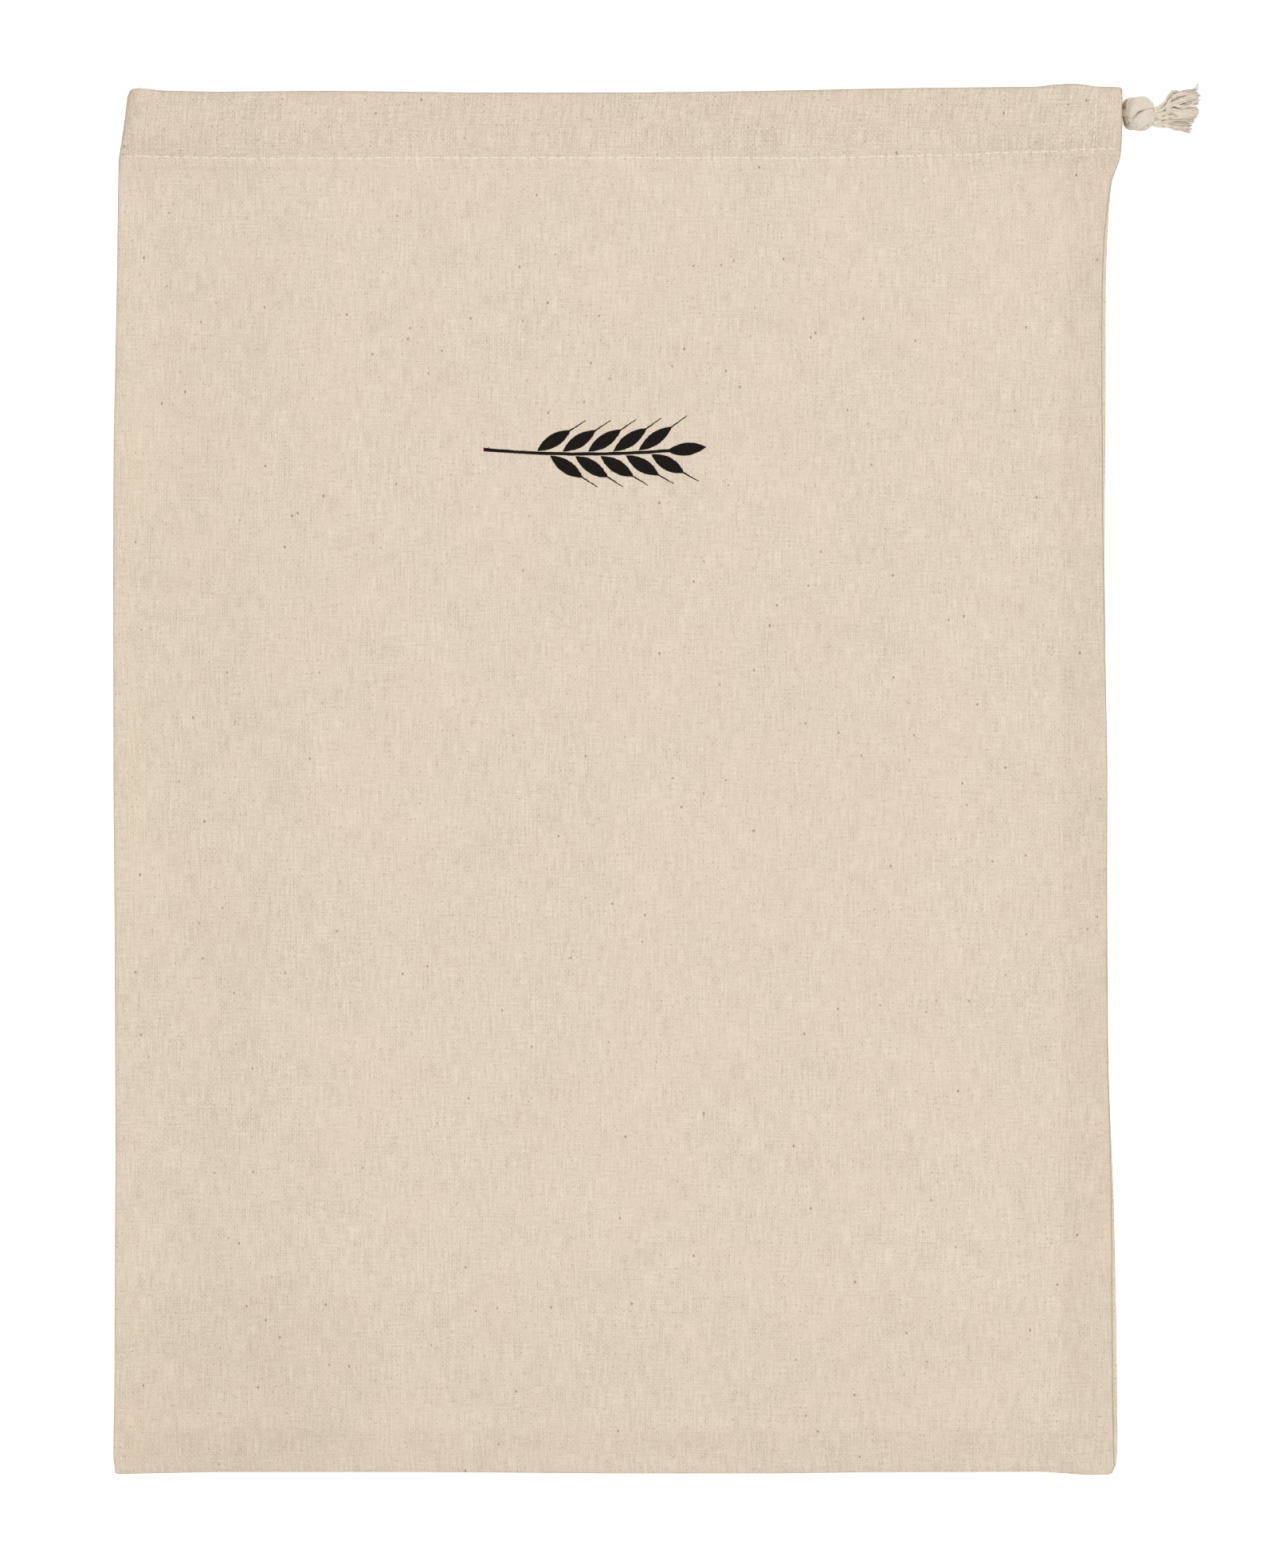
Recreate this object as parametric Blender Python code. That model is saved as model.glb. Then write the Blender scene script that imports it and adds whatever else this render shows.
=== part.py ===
"""Drawstring bread bag of unbleached cotton, lying on its back with the mouth towards +Y.

The bag is one cloth: folded down the left side, sewn down the right side and along the bottom with
the seam allowances turned in, and hemmed at the mouth into a casing. A cord runs round the whole
casing and leaves it through the slit at the right, where its two ends share one overhand knot and
are frayed beyond it. Lengths below are in millimetres and become metres in the last step.
"""

import math
import random

import bmesh
import bpy
import numpy as np
from mathutils import Vector

MM = 0.001

# Cloth: what one layer measures, and how far apart touching layers lie
CLOTH = 1.0
GAP = 0.3
PITCH = CLOTH + GAP
SEAM_TURN = PITCH / 2 + CLOTH / 2
ALLOWANCE = 14.0
BOTTOM_ALLOWANCE = 15.5
STRIP_SHOWING = 1.2

# Outline of the flat bag, seen from above: each row is a place and how far the cloth reaches there
LEFT_SIDE = [  # y, x
    (-209, -150.2), (-173, -150.2), (-100, -150.0), (19, -150.5), (91, -150.4), (139, -149.8),
    (180, -149.0), (190, -148.2), (199, -147.1), (206, -146.3), (209, -145.0),
]
RIGHT_SIDE = [  # y, x
    (-209, 150.2), (-205, 151.2), (-197, 151.7), (-149, 151.0), (-101, 149.5), (-77, 148.8),
    (-5, 148.5), (43, 147.8), (91, 147.8), (149, 148.1), (170, 148.9), (178, 149.7),
    (182, 150.8), (186, 152.2), (190, 152.7), (209, 152.9),
]
MOUTH = [  # x, y
    (-150, 207.6), (-145, 208.2), (-136, 207.8), (-120, 207.4), (-41, 207.1), (7, 207.1),
    (55, 207.8), (103, 208.6), (125, 209.0), (138, 209.7), (145, 208.9), (153, 208.7),
]
BOTTOM = [  # x, y
    (-150, -208.7), (-141, -208.5), (-120, -208.1), (-60, -208.1), (0, -208.5), (50, -208.5),
    (80, -208.1), (130, -208.1), (143, -208.9), (151, -208.7),
]
CASING_SEAM = [  # x, y
    (-150, 188.0), (-113, 187.3), (31, 187.3), (85, 187.9), (103, 188.3), (121, 189.4),
    (134, 189.3), (140, 189.9), (153, 190.4),
]

# Casing: a channel for the cord, closed by the seam and turned in at the mouth
CORD = 2.5
CHANNEL = CORD + 2 * GAP
HEM_TURN = (CHANNEL + CLOTH) / 2
HEM_BELOW_SEAM = 2.2
CHANNEL_OPENS = (0.7, 9.2)
SLIT_BELOW_SEAM = 4.0
CORD_BELOW_MOUTH = 7.6

# Height of the front layer's middle: low over the seams, lofted between them
BACK_HEIGHT = CLOTH / 2
SEAM_HEIGHT = BACK_HEIGHT + 3 * PITCH
MOUTH_SHUT = 0.6
CASING_HEIGHT = BACK_HEIGHT + 4 * HEM_TURN + CLOTH + MOUTH_SHUT
LOFT = 8.0
CASING_LOFT = 4.1
LOFT_RUN = 58.0
LOFT_STARTS = (6.0, 4.0)
SWELL_RUN = 12.0
CASING_RISES = (-10.0, 10.0)
SEAM_FADES = 6.0
SWELLS = [  # x, y, reach along x, reach along y, height: soft swells and troughs of the front
    (-95, 120, 34, 70, -0.45), (-60, -20, 60, 46, -0.35), (25, 70, 50, 90, 0.30),
    (-105, -150, 40, 36, -0.60), (70, -120, 46, 60, 0.35), (136, 168, 5, 34, -0.45),
    (131, -20, 8, 170, -0.35), (-40, 150, 26, 60, 0.25),
]

# Grid of the cloth
WIDTH = 299.0
FOLD_X = -148.0
FRONT_COLUMNS = 20
BACK_COLUMNS = 6
BODY_ROWS = 20
CASING_ROWS = (3.0, 6.2, 9.4)
TURN_STEPS = 4
FOLD_STEPS = 6
HEM_STEPS = 5
CORNER_CLIP = 2.0
STRIP_CLEAR = 1.5

# Knot and frayed ends, beyond the slit
SLIT_X = 152.9
CORD_PROUD = 0.12
CORD_HEIGHTS = (CASING_HEIGHT - HEM_TURN, BACK_HEIGHT + HEM_TURN)
CORD_BACK_POINTS = 24
CORD_BACK_STRAIGHT = 3.0
KNOT_AT = (158.0, 200.6, 4.98)
STRAND = 2.1
STRAND_APART = 1.75
KNOT_CORE = (2.9, 2.7, 3.0)
KNOT_VOXEL = 0.55
ROUTE_STEPS = 5
KNOT_ROUTE = [  # x, y, z from the middle of the knot: one wrap over, one under, and out
    (0.0, 1.0, 1.2), (2.5, 0.3, 2.2), (2.5, -2.4, 1.9), (0.6, -3.7, -0.6), (-0.8, -2.3, -3.2),
    (-0.6, 0.8, -3.7), (1.0, 2.8, -2.2), (2.6, 3.2, 0.6), (0.8, 2.5, 3.3), (-1.6, 0.5, 3.5),
    (-2.7, -1.6, 1.9), (-1.6, -1.9, -0.8), (1.2, -0.8, -1.5), (3.6, -0.5, -1.2), (4.75, -0.5, -1.1),
]
TUFT_FROM = 163.3
TUFT_HEAD = [  # x beyond the knot, half width, half height of the head that holds the yarns
    (0.0, 2.2, 1.5), (0.3, 2.8, 2.0), (1.0, 3.1, 2.3), (1.6, 3.2, 2.4),
]
TUFT_MID = (199.9, 3.9)
YARN = 0.78
YARN_APART = (0.92, 0.92)
YARN_LENGTH = 11.6
YARN_RAGGED = (-1.5, 1.1)
YARN_SHORTER = (0.26, 0.08)
YARN_ROOT = 1.3
YARN_DROP_RUN = 9.0
YARN_STEPS = 7
YARN_SIDES = 4
YARN_TAPER = 0.45
HEAD_SIDES = 16
ROOT_MARGIN = 0.4
YARN_WAVE = 0.36
TUFT_SPREAD = 0.145
TUFT_LEAN = 0.11
SEED = 11


def ease(t):
    """Soft step from 0 to 1."""
    t = min(max(t, 0.0), 1.0)
    return t * t * (3 - 2 * t)


def reach(table, at):
    """How far an outline reaches at a place, read from its short table."""
    places, reaches = zip(*table)
    return float(np.interp(at, places, reaches))


def clear_scene():
    for obj in list(bpy.data.objects):
        bpy.data.objects.remove(obj)


def finish(name, colour, roughness):
    """A plain cloth or cord material."""
    material = bpy.data.materials.new(name)
    material.use_nodes = True
    shader = material.node_tree.nodes["Principled BSDF"]
    shader.inputs["Base Color"].default_value = (*colour, 1.0)
    shader.inputs["Roughness"].default_value = roughness
    shader.inputs["Metallic"].default_value = 0.0
    return material


def link(obj):
    bpy.context.scene.collection.objects.link(obj)
    return obj


def body_of(name, shape):
    """An object from a finished shape, with its faces turned outwards."""
    bmesh.ops.recalc_face_normals(shape, faces=shape.faces)
    mesh = bpy.data.meshes.new(name)
    shape.to_mesh(mesh)
    shape.free()
    return link(bpy.data.objects.new(name, mesh))


def casing_share(x, y):
    """0 in the body of the bag and 1 in its casing."""
    low, high = CASING_RISES
    return ease((y - reach(CASING_SEAM, x) - low) / (high - low))


def front_height(x, y):
    """Height of the front layer's middle surface."""
    from_fold, from_seam = LOFT_STARTS
    past_fold = x - reach(LEFT_SIDE, y) - from_fold
    past_seam = reach(RIGHT_SIDE, y) - x - from_seam
    inward = ease(past_fold / LOFT_RUN) * ease(past_seam / LOFT_RUN)
    upward = ease((y - reach(BOTTOM, x) - from_seam) / LOFT_RUN)
    share = casing_share(x, y)
    body = SEAM_HEIGHT + LOFT * inward * upward
    casing = CASING_HEIGHT + CASING_LOFT * inward
    free = ease(past_fold / SWELL_RUN) * ease(past_seam / SWELL_RUN) * upward * (1 - share)
    swell = sum(
        height * math.exp(-(((x - at_x) / reach_x) ** 2) - ((y - at_y) / reach_y) ** 2)
        for at_x, at_y, reach_x, reach_y, height in SWELLS
    )
    return body + (casing - body) * share + swell * free


def side_places(y):
    """Where the flat layers end: the fold's middle and radius, and both layers' right ends."""
    left = reach(LEFT_SIDE, y)
    radius = (front_height(left, y) - BACK_HEIGHT) / 2
    fold = left + CLOTH / 2 + radius
    right = reach(RIGHT_SIDE, y)
    sewn = 1 - ease((y - reach(CASING_SEAM, right)) / SEAM_FADES + 1)
    back_end = right - SEAM_TURN * sewn
    return fold, radius, back_end - STRIP_SHOWING * sewn, back_end


def outer(c, y):
    """The outer layer's middle surface: c is 0 to 1 on the front, to 2 on the fold, to 3 on the back."""
    fold, radius, front_end, back_end = side_places(y)
    if c <= 1:
        x = front_end + (fold - front_end) * c
        return Vector((x, y, front_height(x, y)))
    if c < 2:
        angle = math.pi * (c - 1)
        return Vector(
            (fold - radius * math.sin(angle), y, BACK_HEIGHT + radius * (1 + math.cos(angle)))
        )
    return Vector((fold + (back_end - fold) * (c - 2), y, BACK_HEIGHT))


def layered(c, y, inward):
    """A point that lies some way into the bag from its outer layer."""
    step_c, step_y = 0.001, 0.05
    across = outer(c + step_c, y) - outer(c - step_c, y)
    along = outer(c, y + step_y) - outer(c, y - step_y)
    return outer(c, y) + across.cross(along).normalized() * inward


def turn_in(steps, radius):
    """How a half turn runs: past the edge, and into the bag."""
    angles = [math.pi * k / steps for k in range(1, steps)]
    return [(radius * math.sin(a), radius * (1 - math.cos(a))) for a in angles]


def across_columns():
    """The cloth's columns from cut edge to cut edge: place c, reach past the seam, depth, zone.

    A zone is what the cells between a column and the next one are.
    """
    turns = turn_in(TURN_STEPS, PITCH / 2)
    strip = (ALLOWANCE - SEAM_TURN) / WIDTH
    clip = CORNER_CLIP / WIDTH
    columns = [(strip, 0.0, PITCH, "allowance"), (0.0, 0.0, PITCH, "turn")]
    columns += [(0.0, past, into, "turn") for past, into in reversed(turns)]
    columns += [(0.0, 0.0, 0.0, "edge"), (clip, 0.0, 0.0, "face")]
    columns += [(c, 0.0, 0.0, "face") for c in np.linspace(strip, 1.0, FRONT_COLUMNS + 1)]
    columns += [(1 + k / FOLD_STEPS, 0.0, 0.0, "face") for k in range(1, FOLD_STEPS)]
    columns += [(c, 0.0, 0.0, "face") for c in np.linspace(2.0, 3 - strip, BACK_COLUMNS + 1)]
    columns += [(3 - clip, 0.0, 0.0, "edge"), (3.0, 0.0, 0.0, "turn")]
    columns += [(3.0, past, into, "turn") for past, into in turns]
    columns += [(3.0, 0.0, PITCH, "allowance"), (3 - strip, 0.0, PITCH, "end")]
    return columns


def channel_depth(above_seam):
    """How deep the hem lies under the outer layer, at a height above the casing's seam."""
    low, high = CHANNEL_OPENS
    return PITCH + (2 * HEM_TURN - PITCH) * ease((above_seam - low) / (high - low))


def along_rows(x):
    """The cloth's rows at one column, from the bottom's cut edge to the hem's: y, depth, zone."""
    low = reach(BOTTOM, x) + SEAM_TURN
    strip = low + BOTTOM_ALLOWANCE - SEAM_TURN
    seam = reach(CASING_SEAM, x)
    high = reach(MOUTH, x) - HEM_TURN - CLOTH / 2
    casing = [seam - HEM_BELOW_SEAM, seam]
    casing += [seam + above for above in CASING_ROWS]
    casing += [(casing[-1] + high) / 2, high]
    rows = [(strip, PITCH, "allowance"), (low, PITCH, "turn")]
    rows += [(low - past, into, "turn") for past, into in reversed(turn_in(TURN_STEPS, PITCH / 2))]
    rows += [(low, 0.0, "corner"), (low + CORNER_CLIP, 0.0, "clipped"), (strip, 0.0, "clipped")]
    sewn = np.linspace(strip + STRIP_CLEAR, seam - SLIT_BELOW_SEAM, BODY_ROWS + 1)
    rows += [(y, 0.0, "sewn") for y in sewn[:-1]]
    rows += [(y, 0.0, "slit") for y in [sewn[-1]] + casing]
    rows += [(high + past, into, "slit") for past, into in turn_in(HEM_STEPS, HEM_TURN)]
    rows += [(y, channel_depth(y - seam), "slit") for y in reversed(casing)]
    return rows


def is_cut_away(column_zone, row_zone):
    """Cells that the cloth lacks: the slit, the clipped corner, and what would lie on another strip."""
    if column_zone == "turn":
        return row_zone not in ("clipped", "sewn")
    if column_zone == "allowance":
        return row_zone != "sewn"
    return column_zone == "edge" and row_zone == "allowance"


def nominal_x(c):
    """Where a column lies across the bag, for the outline of the mouth and the bottom."""
    if c <= 1:
        return FOLD_X + WIDTH * (1 - c)
    return FOLD_X + WIDTH * max(c - 2, 0.0)


def bag_grid():
    """Points of the folded cloth's middle surface, and which of its cells the cloth has."""
    columns = across_columns()
    grid = []
    for c, past, side_depth, _ in columns:
        rows = along_rows(nominal_x(c))
        points = []
        for y, depth, _ in rows:
            fold, _, front_end, back_end = side_places(y)
            beyond = past / (fold - front_end) if c < 1 else past / (back_end - fold)
            points.append(layered(c + beyond, y, depth + side_depth))
        grid.append(points)
    cells = [
        (i, j)
        for i in range(len(columns) - 1)
        for j in range(len(rows) - 1)
        if not is_cut_away(columns[i][3], rows[j][2])
    ]
    return grid, cells


def bag_cloth():
    """One cloth, folded, hemmed and turned in, as a middle surface with its thickness added."""
    grid, cells = bag_grid()
    shape = bmesh.new()
    points = {}
    for i, j in cells:
        for corner in ((i, j), (i + 1, j), (i + 1, j + 1), (i, j + 1)):
            if corner not in points:
                points[corner] = shape.verts.new(grid[corner[0]][corner[1]] * MM)
        ring = ((i, j), (i, j + 1), (i + 1, j + 1), (i + 1, j))
        shape.faces.new([points[corner] for corner in ring])
    bag = body_of("bag_cloth", shape)
    layer = bag.modifiers.new("layer", "SOLIDIFY")
    layer.thickness = CLOTH * MM
    layer.offset = 0.0
    layer.use_rim = True
    bag.data.materials.append(finish("unbleached_cotton", (0.75, 0.64, 0.51), 0.95))
    return bag


def tube(name, route, radius):
    """A round cord along a route, as a curve with a bevel and filled ends."""
    curve = bpy.data.curves.new(name, "CURVE")
    curve.dimensions = "3D"
    curve.bevel_depth = radius * MM
    curve.bevel_resolution = 2
    curve.use_fill_caps = True
    spline = curve.splines.new("POLY")
    spline.points.add(len(route) - 1)
    for point, place in zip(spline.points, route):
        point.co = (*(place * MM), 1.0)
    return link(bpy.data.objects.new(name, curve))


def cord_route():
    """The cord's way round the casing: in along the front, round the fold, out along the back."""
    front = np.linspace((ALLOWANCE - SEAM_TURN) / WIDTH, 1.0, FRONT_COLUMNS + 1)
    fold = [1 + k / FOLD_STEPS for k in range(1, FOLD_STEPS)]
    back = np.linspace(2.0, 3.0, CORD_BACK_POINTS)[:-1]
    stops = [float(c) for c in front] + fold + [float(c) for c in back]
    route = [layered(c, reach(MOUTH, nominal_x(c)) - CORD_BELOW_MOUTH, HEM_TURN) for c in stops]
    straight = Vector((-CORD_BACK_STRAIGHT, 0.0, 0.0))
    front_end, back_end = (cord_mouth(height, CORD_PROUD) for height in CORD_HEIGHTS)
    return [front_end, front_end + straight] + route + [back_end + straight, back_end]


def cord_mouth(height, proud):
    """Where the cord comes out of the casing, at one of its two heights."""
    return Vector((SLIT_X + proud, reach(MOUTH, SLIT_X) - CORD_BELOW_MOUTH, height))


def drawstring():
    cord = tube("drawstring", cord_route(), CORD / 2)
    cord.data.materials.append(finish("cotton_cord", (0.70, 0.60, 0.48), 0.9))
    return cord


def through(points, steps):
    """A smooth curve through a route's own points, with some steps between each pair."""
    line = [Vector(p) for p in points]
    line = [2 * line[0] - line[1]] + line + [2 * line[-1] - line[-2]]
    smooth = []
    for a, b, c, d in zip(line, line[1:], line[2:], line[3:]):
        for k in range(steps):
            t = k / steps
            smooth.append(
                0.5 * (2 * b + (c - a) * t + (2 * a - 5 * b + 4 * c - d) * t ** 2
                       + (3 * b - a - 3 * c + d) * t ** 3)
            )
    return smooth + [line[-2]]


def knot_strands():
    """The two strands of the knot: from the casing's two channels, then side by side."""
    centre = Vector(KNOT_AT)
    route = through(KNOT_ROUTE, ROUTE_STEPS)
    strands = []
    for side, height in zip((1, -1), CORD_HEIGHTS):
        line = []
        for k, point in enumerate(route):
            ahead = route[min(k + 1, len(route) - 1)] - route[max(k - 1, 0)]
            aside = ahead.cross(point).normalized()
            line.append(centre + point + aside * side * STRAND_APART / 2)
        mouth = cord_mouth(height, CORD_PROUD + GAP + KNOT_VOXEL / 2)
        bend = mouth + Vector((1.2, -0.2, (KNOT_AT[2] - height) * 0.2))
        strands.append(through([mouth, bend, line[0]], ROUTE_STEPS)[:-1] + line)
    return strands


def cord_knot():
    """Overhand knot of both cord ends, fused into one lump as the soft cord packs."""
    packed = bmesh.new()
    graph = bpy.context.evaluated_depsgraph_get()
    for route in knot_strands():
        strand = tube("strand", route, STRAND / 2)
        graph.update()
        packed.from_mesh(bpy.data.meshes.new_from_object(strand.evaluated_get(graph)))
        bpy.data.objects.remove(strand)
    core = bmesh.ops.create_icosphere(packed, subdivisions=2, radius=1.0)["verts"]
    bmesh.ops.scale(packed, vec=Vector(KNOT_CORE) * MM, verts=core)
    bmesh.ops.translate(packed, vec=Vector(KNOT_AT) * MM, verts=core)
    knot = body_of("cord_knot", packed)
    fuse = knot.modifiers.new("fuse", "REMESH")
    fuse.mode = "VOXEL"
    fuse.voxel_size = KNOT_VOXEL * MM
    knot.data.materials.append(finish("knotted_cord", (0.68, 0.58, 0.46), 0.9))
    return knot


def yarn_route(across, up, level, rng):
    """One frayed yarn: fans out from its root, waves, and comes down to lie on the yarns below it."""
    below, above = YARN_SHORTER
    shorter = (below if across < 0 else above) * across ** 2
    length = YARN_LENGTH + rng.uniform(*YARN_RAGGED) - shorter
    slant = math.tan(across * TUFT_SPREAD + TUFT_LEAN)
    start = TUFT_MID[1] + up
    lies_at = YARN * 0.42 + level * YARN_APART[1]
    route = []
    for k in range(YARN_STEPS + 1):
        along = -YARN_ROOT + (length + YARN_ROOT) * k / YARN_STEPS
        free = max(along, 0.0)
        wave = YARN_WAVE * math.sin(free * 0.75 + 0.6 * level) * min(free / 3, 1.0)
        y = TUFT_MID[0] + across + slant * free + wave
        z = start + (lies_at - start) * ease(free / YARN_DROP_RUN)
        route.append(Vector((TUFT_FROM + TUFT_HEAD[-1][0] + along, y, z)))
    return route


def loft(shape, rings):
    """Joins rings of points into one closed body."""
    loops = [[shape.verts.new(place * MM) for place in ring] for ring in rings]
    for low, high in zip(loops, loops[1:]):
        for n, point in enumerate(low):
            after = (n + 1) % len(low)
            shape.faces.new((point, low[after], high[after], high[n]))
    shape.faces.new(list(reversed(loops[0])))
    shape.faces.new(loops[-1])


def yarn_rings(route):
    """Rings of a yarn of few sides, thinner towards its end."""
    rings = []
    for k, place in enumerate(route):
        ahead = (route[min(k + 1, len(route) - 1)] - route[max(k - 1, 0)]).normalized()
        side = ahead.cross(Vector((0, 0, 1))).normalized()
        up = side.cross(ahead)
        radius = YARN / 2 * (1 - YARN_TAPER * (k / YARN_STEPS) ** 2)
        angles = [2 * math.pi * (n + 0.5) / YARN_SIDES for n in range(YARN_SIDES)]
        rings.append([place + (side * math.cos(a) + up * math.sin(a)) * radius for a in angles])
    return rings


def head_rings():
    """Rings of the head that holds the yarns."""
    angles = [2 * math.pi * n / HEAD_SIDES for n in range(HEAD_SIDES)]
    y, z = TUFT_MID
    return [
        [Vector((TUFT_FROM + x, y + wide * math.cos(a), z + high * math.sin(a))) for a in angles]
        for x, wide, high in TUFT_HEAD
    ]


def yarn_roots():
    """Where the yarns leave the head: staggered rows that fill its end, as across, up and row."""
    _, wide, high = TUFT_HEAD[-1]
    beside, above = YARN_APART
    rows = int(2 * (high - ROOT_MARGIN) / above) + 1
    roots = []
    for level in range(rows):
        up = (level - (rows - 1) / 2) * above
        half = (wide - ROOT_MARGIN) * math.sqrt(1 - (up / (high + ROOT_MARGIN)) ** 2)
        places = [(i + level % 2 / 2) * beside for i in range(-rows, rows)]
        roots += [(across, up, level) for across in places if abs(across) <= half]
    return roots


def frayed_ends():
    """The cord ends beyond the knot: a head, and the loose yarns fused to it by their roots."""
    head = bmesh.new()
    loft(head, head_rings())
    tuft = body_of("frayed_ends", head)
    rng = random.Random(SEED)
    loose = bmesh.new()
    for across, up, level in yarn_roots():
        loft(loose, yarn_rings(yarn_route(across, up, level, rng)))
    yarns = body_of("yarns", loose)
    yarns.hide_render = True
    yarns.display_type = "WIRE"
    roots = tuft.modifiers.new("roots", "BOOLEAN")
    roots.operation = "UNION"
    roots.object = yarns
    roots.solver = "EXACT"
    tuft.data.materials.append(finish("frayed_cotton", (0.68, 0.57, 0.45), 0.95))
    return tuft


def main():
    clear_scene()
    bag_cloth()
    drawstring()
    cord_knot()
    frayed_ends()


main()
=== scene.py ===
"""Drawstring bread bag of unbleached cotton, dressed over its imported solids.

The cloth lies on the folds of its solid, thin and finely divided, with its seam allowances, casing
and slit hem turned in, its sewing, its weave and a printed ear of wheat. The knot is tied of both
twisted cord ends, and beyond it they are frayed into single yarns. Lengths are in millimetres and
become metres where points are placed.
"""

import math
import random
from functools import partialmethod

import bmesh
import bpy
import numpy as np
from mathutils import Matrix, Vector, kdtree


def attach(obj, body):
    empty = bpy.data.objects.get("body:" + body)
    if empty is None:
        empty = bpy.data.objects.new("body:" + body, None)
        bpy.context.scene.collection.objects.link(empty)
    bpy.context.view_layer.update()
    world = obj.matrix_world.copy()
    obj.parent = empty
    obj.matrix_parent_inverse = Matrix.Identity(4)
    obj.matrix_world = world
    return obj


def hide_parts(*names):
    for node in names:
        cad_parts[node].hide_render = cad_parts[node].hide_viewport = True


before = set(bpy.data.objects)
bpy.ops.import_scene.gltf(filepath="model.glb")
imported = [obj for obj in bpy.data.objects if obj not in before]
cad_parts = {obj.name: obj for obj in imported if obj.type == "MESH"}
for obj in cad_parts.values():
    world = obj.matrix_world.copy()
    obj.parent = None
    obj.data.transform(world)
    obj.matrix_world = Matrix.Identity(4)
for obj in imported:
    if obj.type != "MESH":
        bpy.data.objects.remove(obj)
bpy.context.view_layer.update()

MM = 0.001

# Cloth: one layer's thickness, how far apart touching layers lie, and what is turned in at the edges
CLOTH = 0.6
GAP = 0.1
PITCH = CLOTH + GAP
SEAM_TURN = PITCH / 2 + CLOTH / 2
ALLOWANCE = 14.0
BOTTOM_ALLOWANCE = 15.5

# Outline of the flat bag, seen from above: each row is a place and how far the cloth reaches there
LEFT_SIDE = [  # y, x
    (-209, -150.2), (-207.1, -150.4), (-204.5, -150.8), (-197, -150.75), (-185, -150.5), (-149, -150.4),
    (-113, -150.15), (-77, -150.3), (-41, -150.45), (-5, -150.75), (67, -150.9), (103, -150.7),
    (127, -150.2), (156, -149.65), (178, -149.4), (187, -149.1), (190.6, -148.4), (199, -147.1),
    (206, -146.3), (209, -145.0),
]
RIGHT_SIDE = [  # y, x
    (-209.2, 148.7), (-208.9, 149.7), (-208.4, 150.5), (-207.3, 151.2), (-204.8, 151.7), (-202, 151.9),
    (-197, 152.0), (-161, 151.55), (-137, 151.05), (-125, 150.75), (-101, 149.75), (-89, 149.3),
    (-77, 149.1), (-41, 148.85), (7, 148.85), (31, 148.4), (67, 148.05), (79, 148.0), (103, 148.35),
    (149, 148.4), (163, 148.85), (173, 149.45), (180, 150.1), (182.2, 150.8), (184.6, 151.7),
    (187, 152.6), (190, 152.85), (209, 152.9),
]
STRIP_SHOWS = [  # y, how far the back's edge shows beside the front's
    (-209.5, 0.0), (-208, 0.1), (-205, 0.75), (-202, 1.15), (-192, 1.4), (-161, 1.3), (-149, 1.1),
    (-120, 0.6), (-105, 0.3), (-60, 0.15), (-12, 0.05), (33, 0.05), (50, 0.25), (81, 0.55), (110, 1.1),
    (130, 1.2), (163, 1.0), (172, 0.6), (178, 0.35), (184, 0.2), (188, 0.0), (209, 0.0),
]
MOUTH = [  # x, y
    (-147, 208.0), (-144.5, 208.3), (-141, 207.8), (-136, 207.35), (-120, 207.0), (-89, 207.0),
    (-65, 206.7), (-41, 206.4), (7, 206.45), (31, 206.7), (55, 207.1), (79, 207.6), (103, 207.95),
    (127, 208.35), (132, 209.0), (138, 209.4), (141.6, 209.1), (145, 208.55), (153, 208.3),
]
BOTTOM = [  # x, y
    (-150, -209.0), (-141, -208.8), (-120, -208.35), (-60, -208.35), (0, -208.8), (50, -208.8),
    (80, -208.4), (130, -208.3), (143, -209.2), (151, -209.1),
]
CASING_SEAM = [  # x, y
    (-150, 188.0), (-134, 187.6), (-113, 186.9), (-86, 186.5), (-62, 186.75), (10, 186.75),
    (58, 186.65), (85, 187.2), (103, 187.7), (121, 188.8), (134, 189.1), (140, 189.8), (153, 190.4),
]

# Casing: a channel for the cord, closed by the seam and turned in at the mouth
HEM_TURN = 2.25
HEM_BELOW_SEAM = 2.2
CHANNEL_OPENS = (0.7, 9.2)
SLIT_BELOW_SEAM = 4.0
CORD_BELOW_MOUTH = 7.6
SLIT_STRIPS_FADE = 4.0
CORNER_SHARP = 0.68  # how square the turn at the mouth is beside the fold, where 0 is round
CORNER_SHARP_RUN = 0.03

# Height of the front layer's middle: low over the seams, lofted between them
BACK_HEIGHT = CLOTH / 2
SEAM_HEIGHT = BACK_HEIGHT + 3 * PITCH
MOUTH_SHUT = 0.6
CASING_HEIGHT = BACK_HEIGHT + 4 * HEM_TURN + CLOTH + MOUTH_SHUT
LOFT = 10.2
CASING_LOFT = 4.1
LOFT_RUN = 58.0
LOFT_STARTS = (6.0, 4.0)  # from the fold, from a seam
SWELL_RUN = 12.0
CASING_RISES = (-10.0, 10.0)
SWELLS = [  # x, y, reach along x, reach along y, height: soft swells and troughs of the front
    (-95, 120, 34, 70, -0.45), (-60, -20, 60, 46, -0.35), (25, 70, 50, 90, 0.30),
    (-105, -150, 40, 36, -0.60), (70, -120, 46, 60, 0.35), (136, 168, 5, 34, -0.45),
    (131, -20, 8, 170, -0.35), (-40, 150, 26, 60, 0.25),
]
RIPPLES = 26
RIPPLE_HEIGHT = 0.075
RIPPLE_LENGTHS = (22.0, 80.0)
RIPPLE_SEED = 5
SEAM_GROOVE = (0.30, 1.1)  # depth, reach
HEM_STEP = (0.40, 1.6)  # height, run

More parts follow.
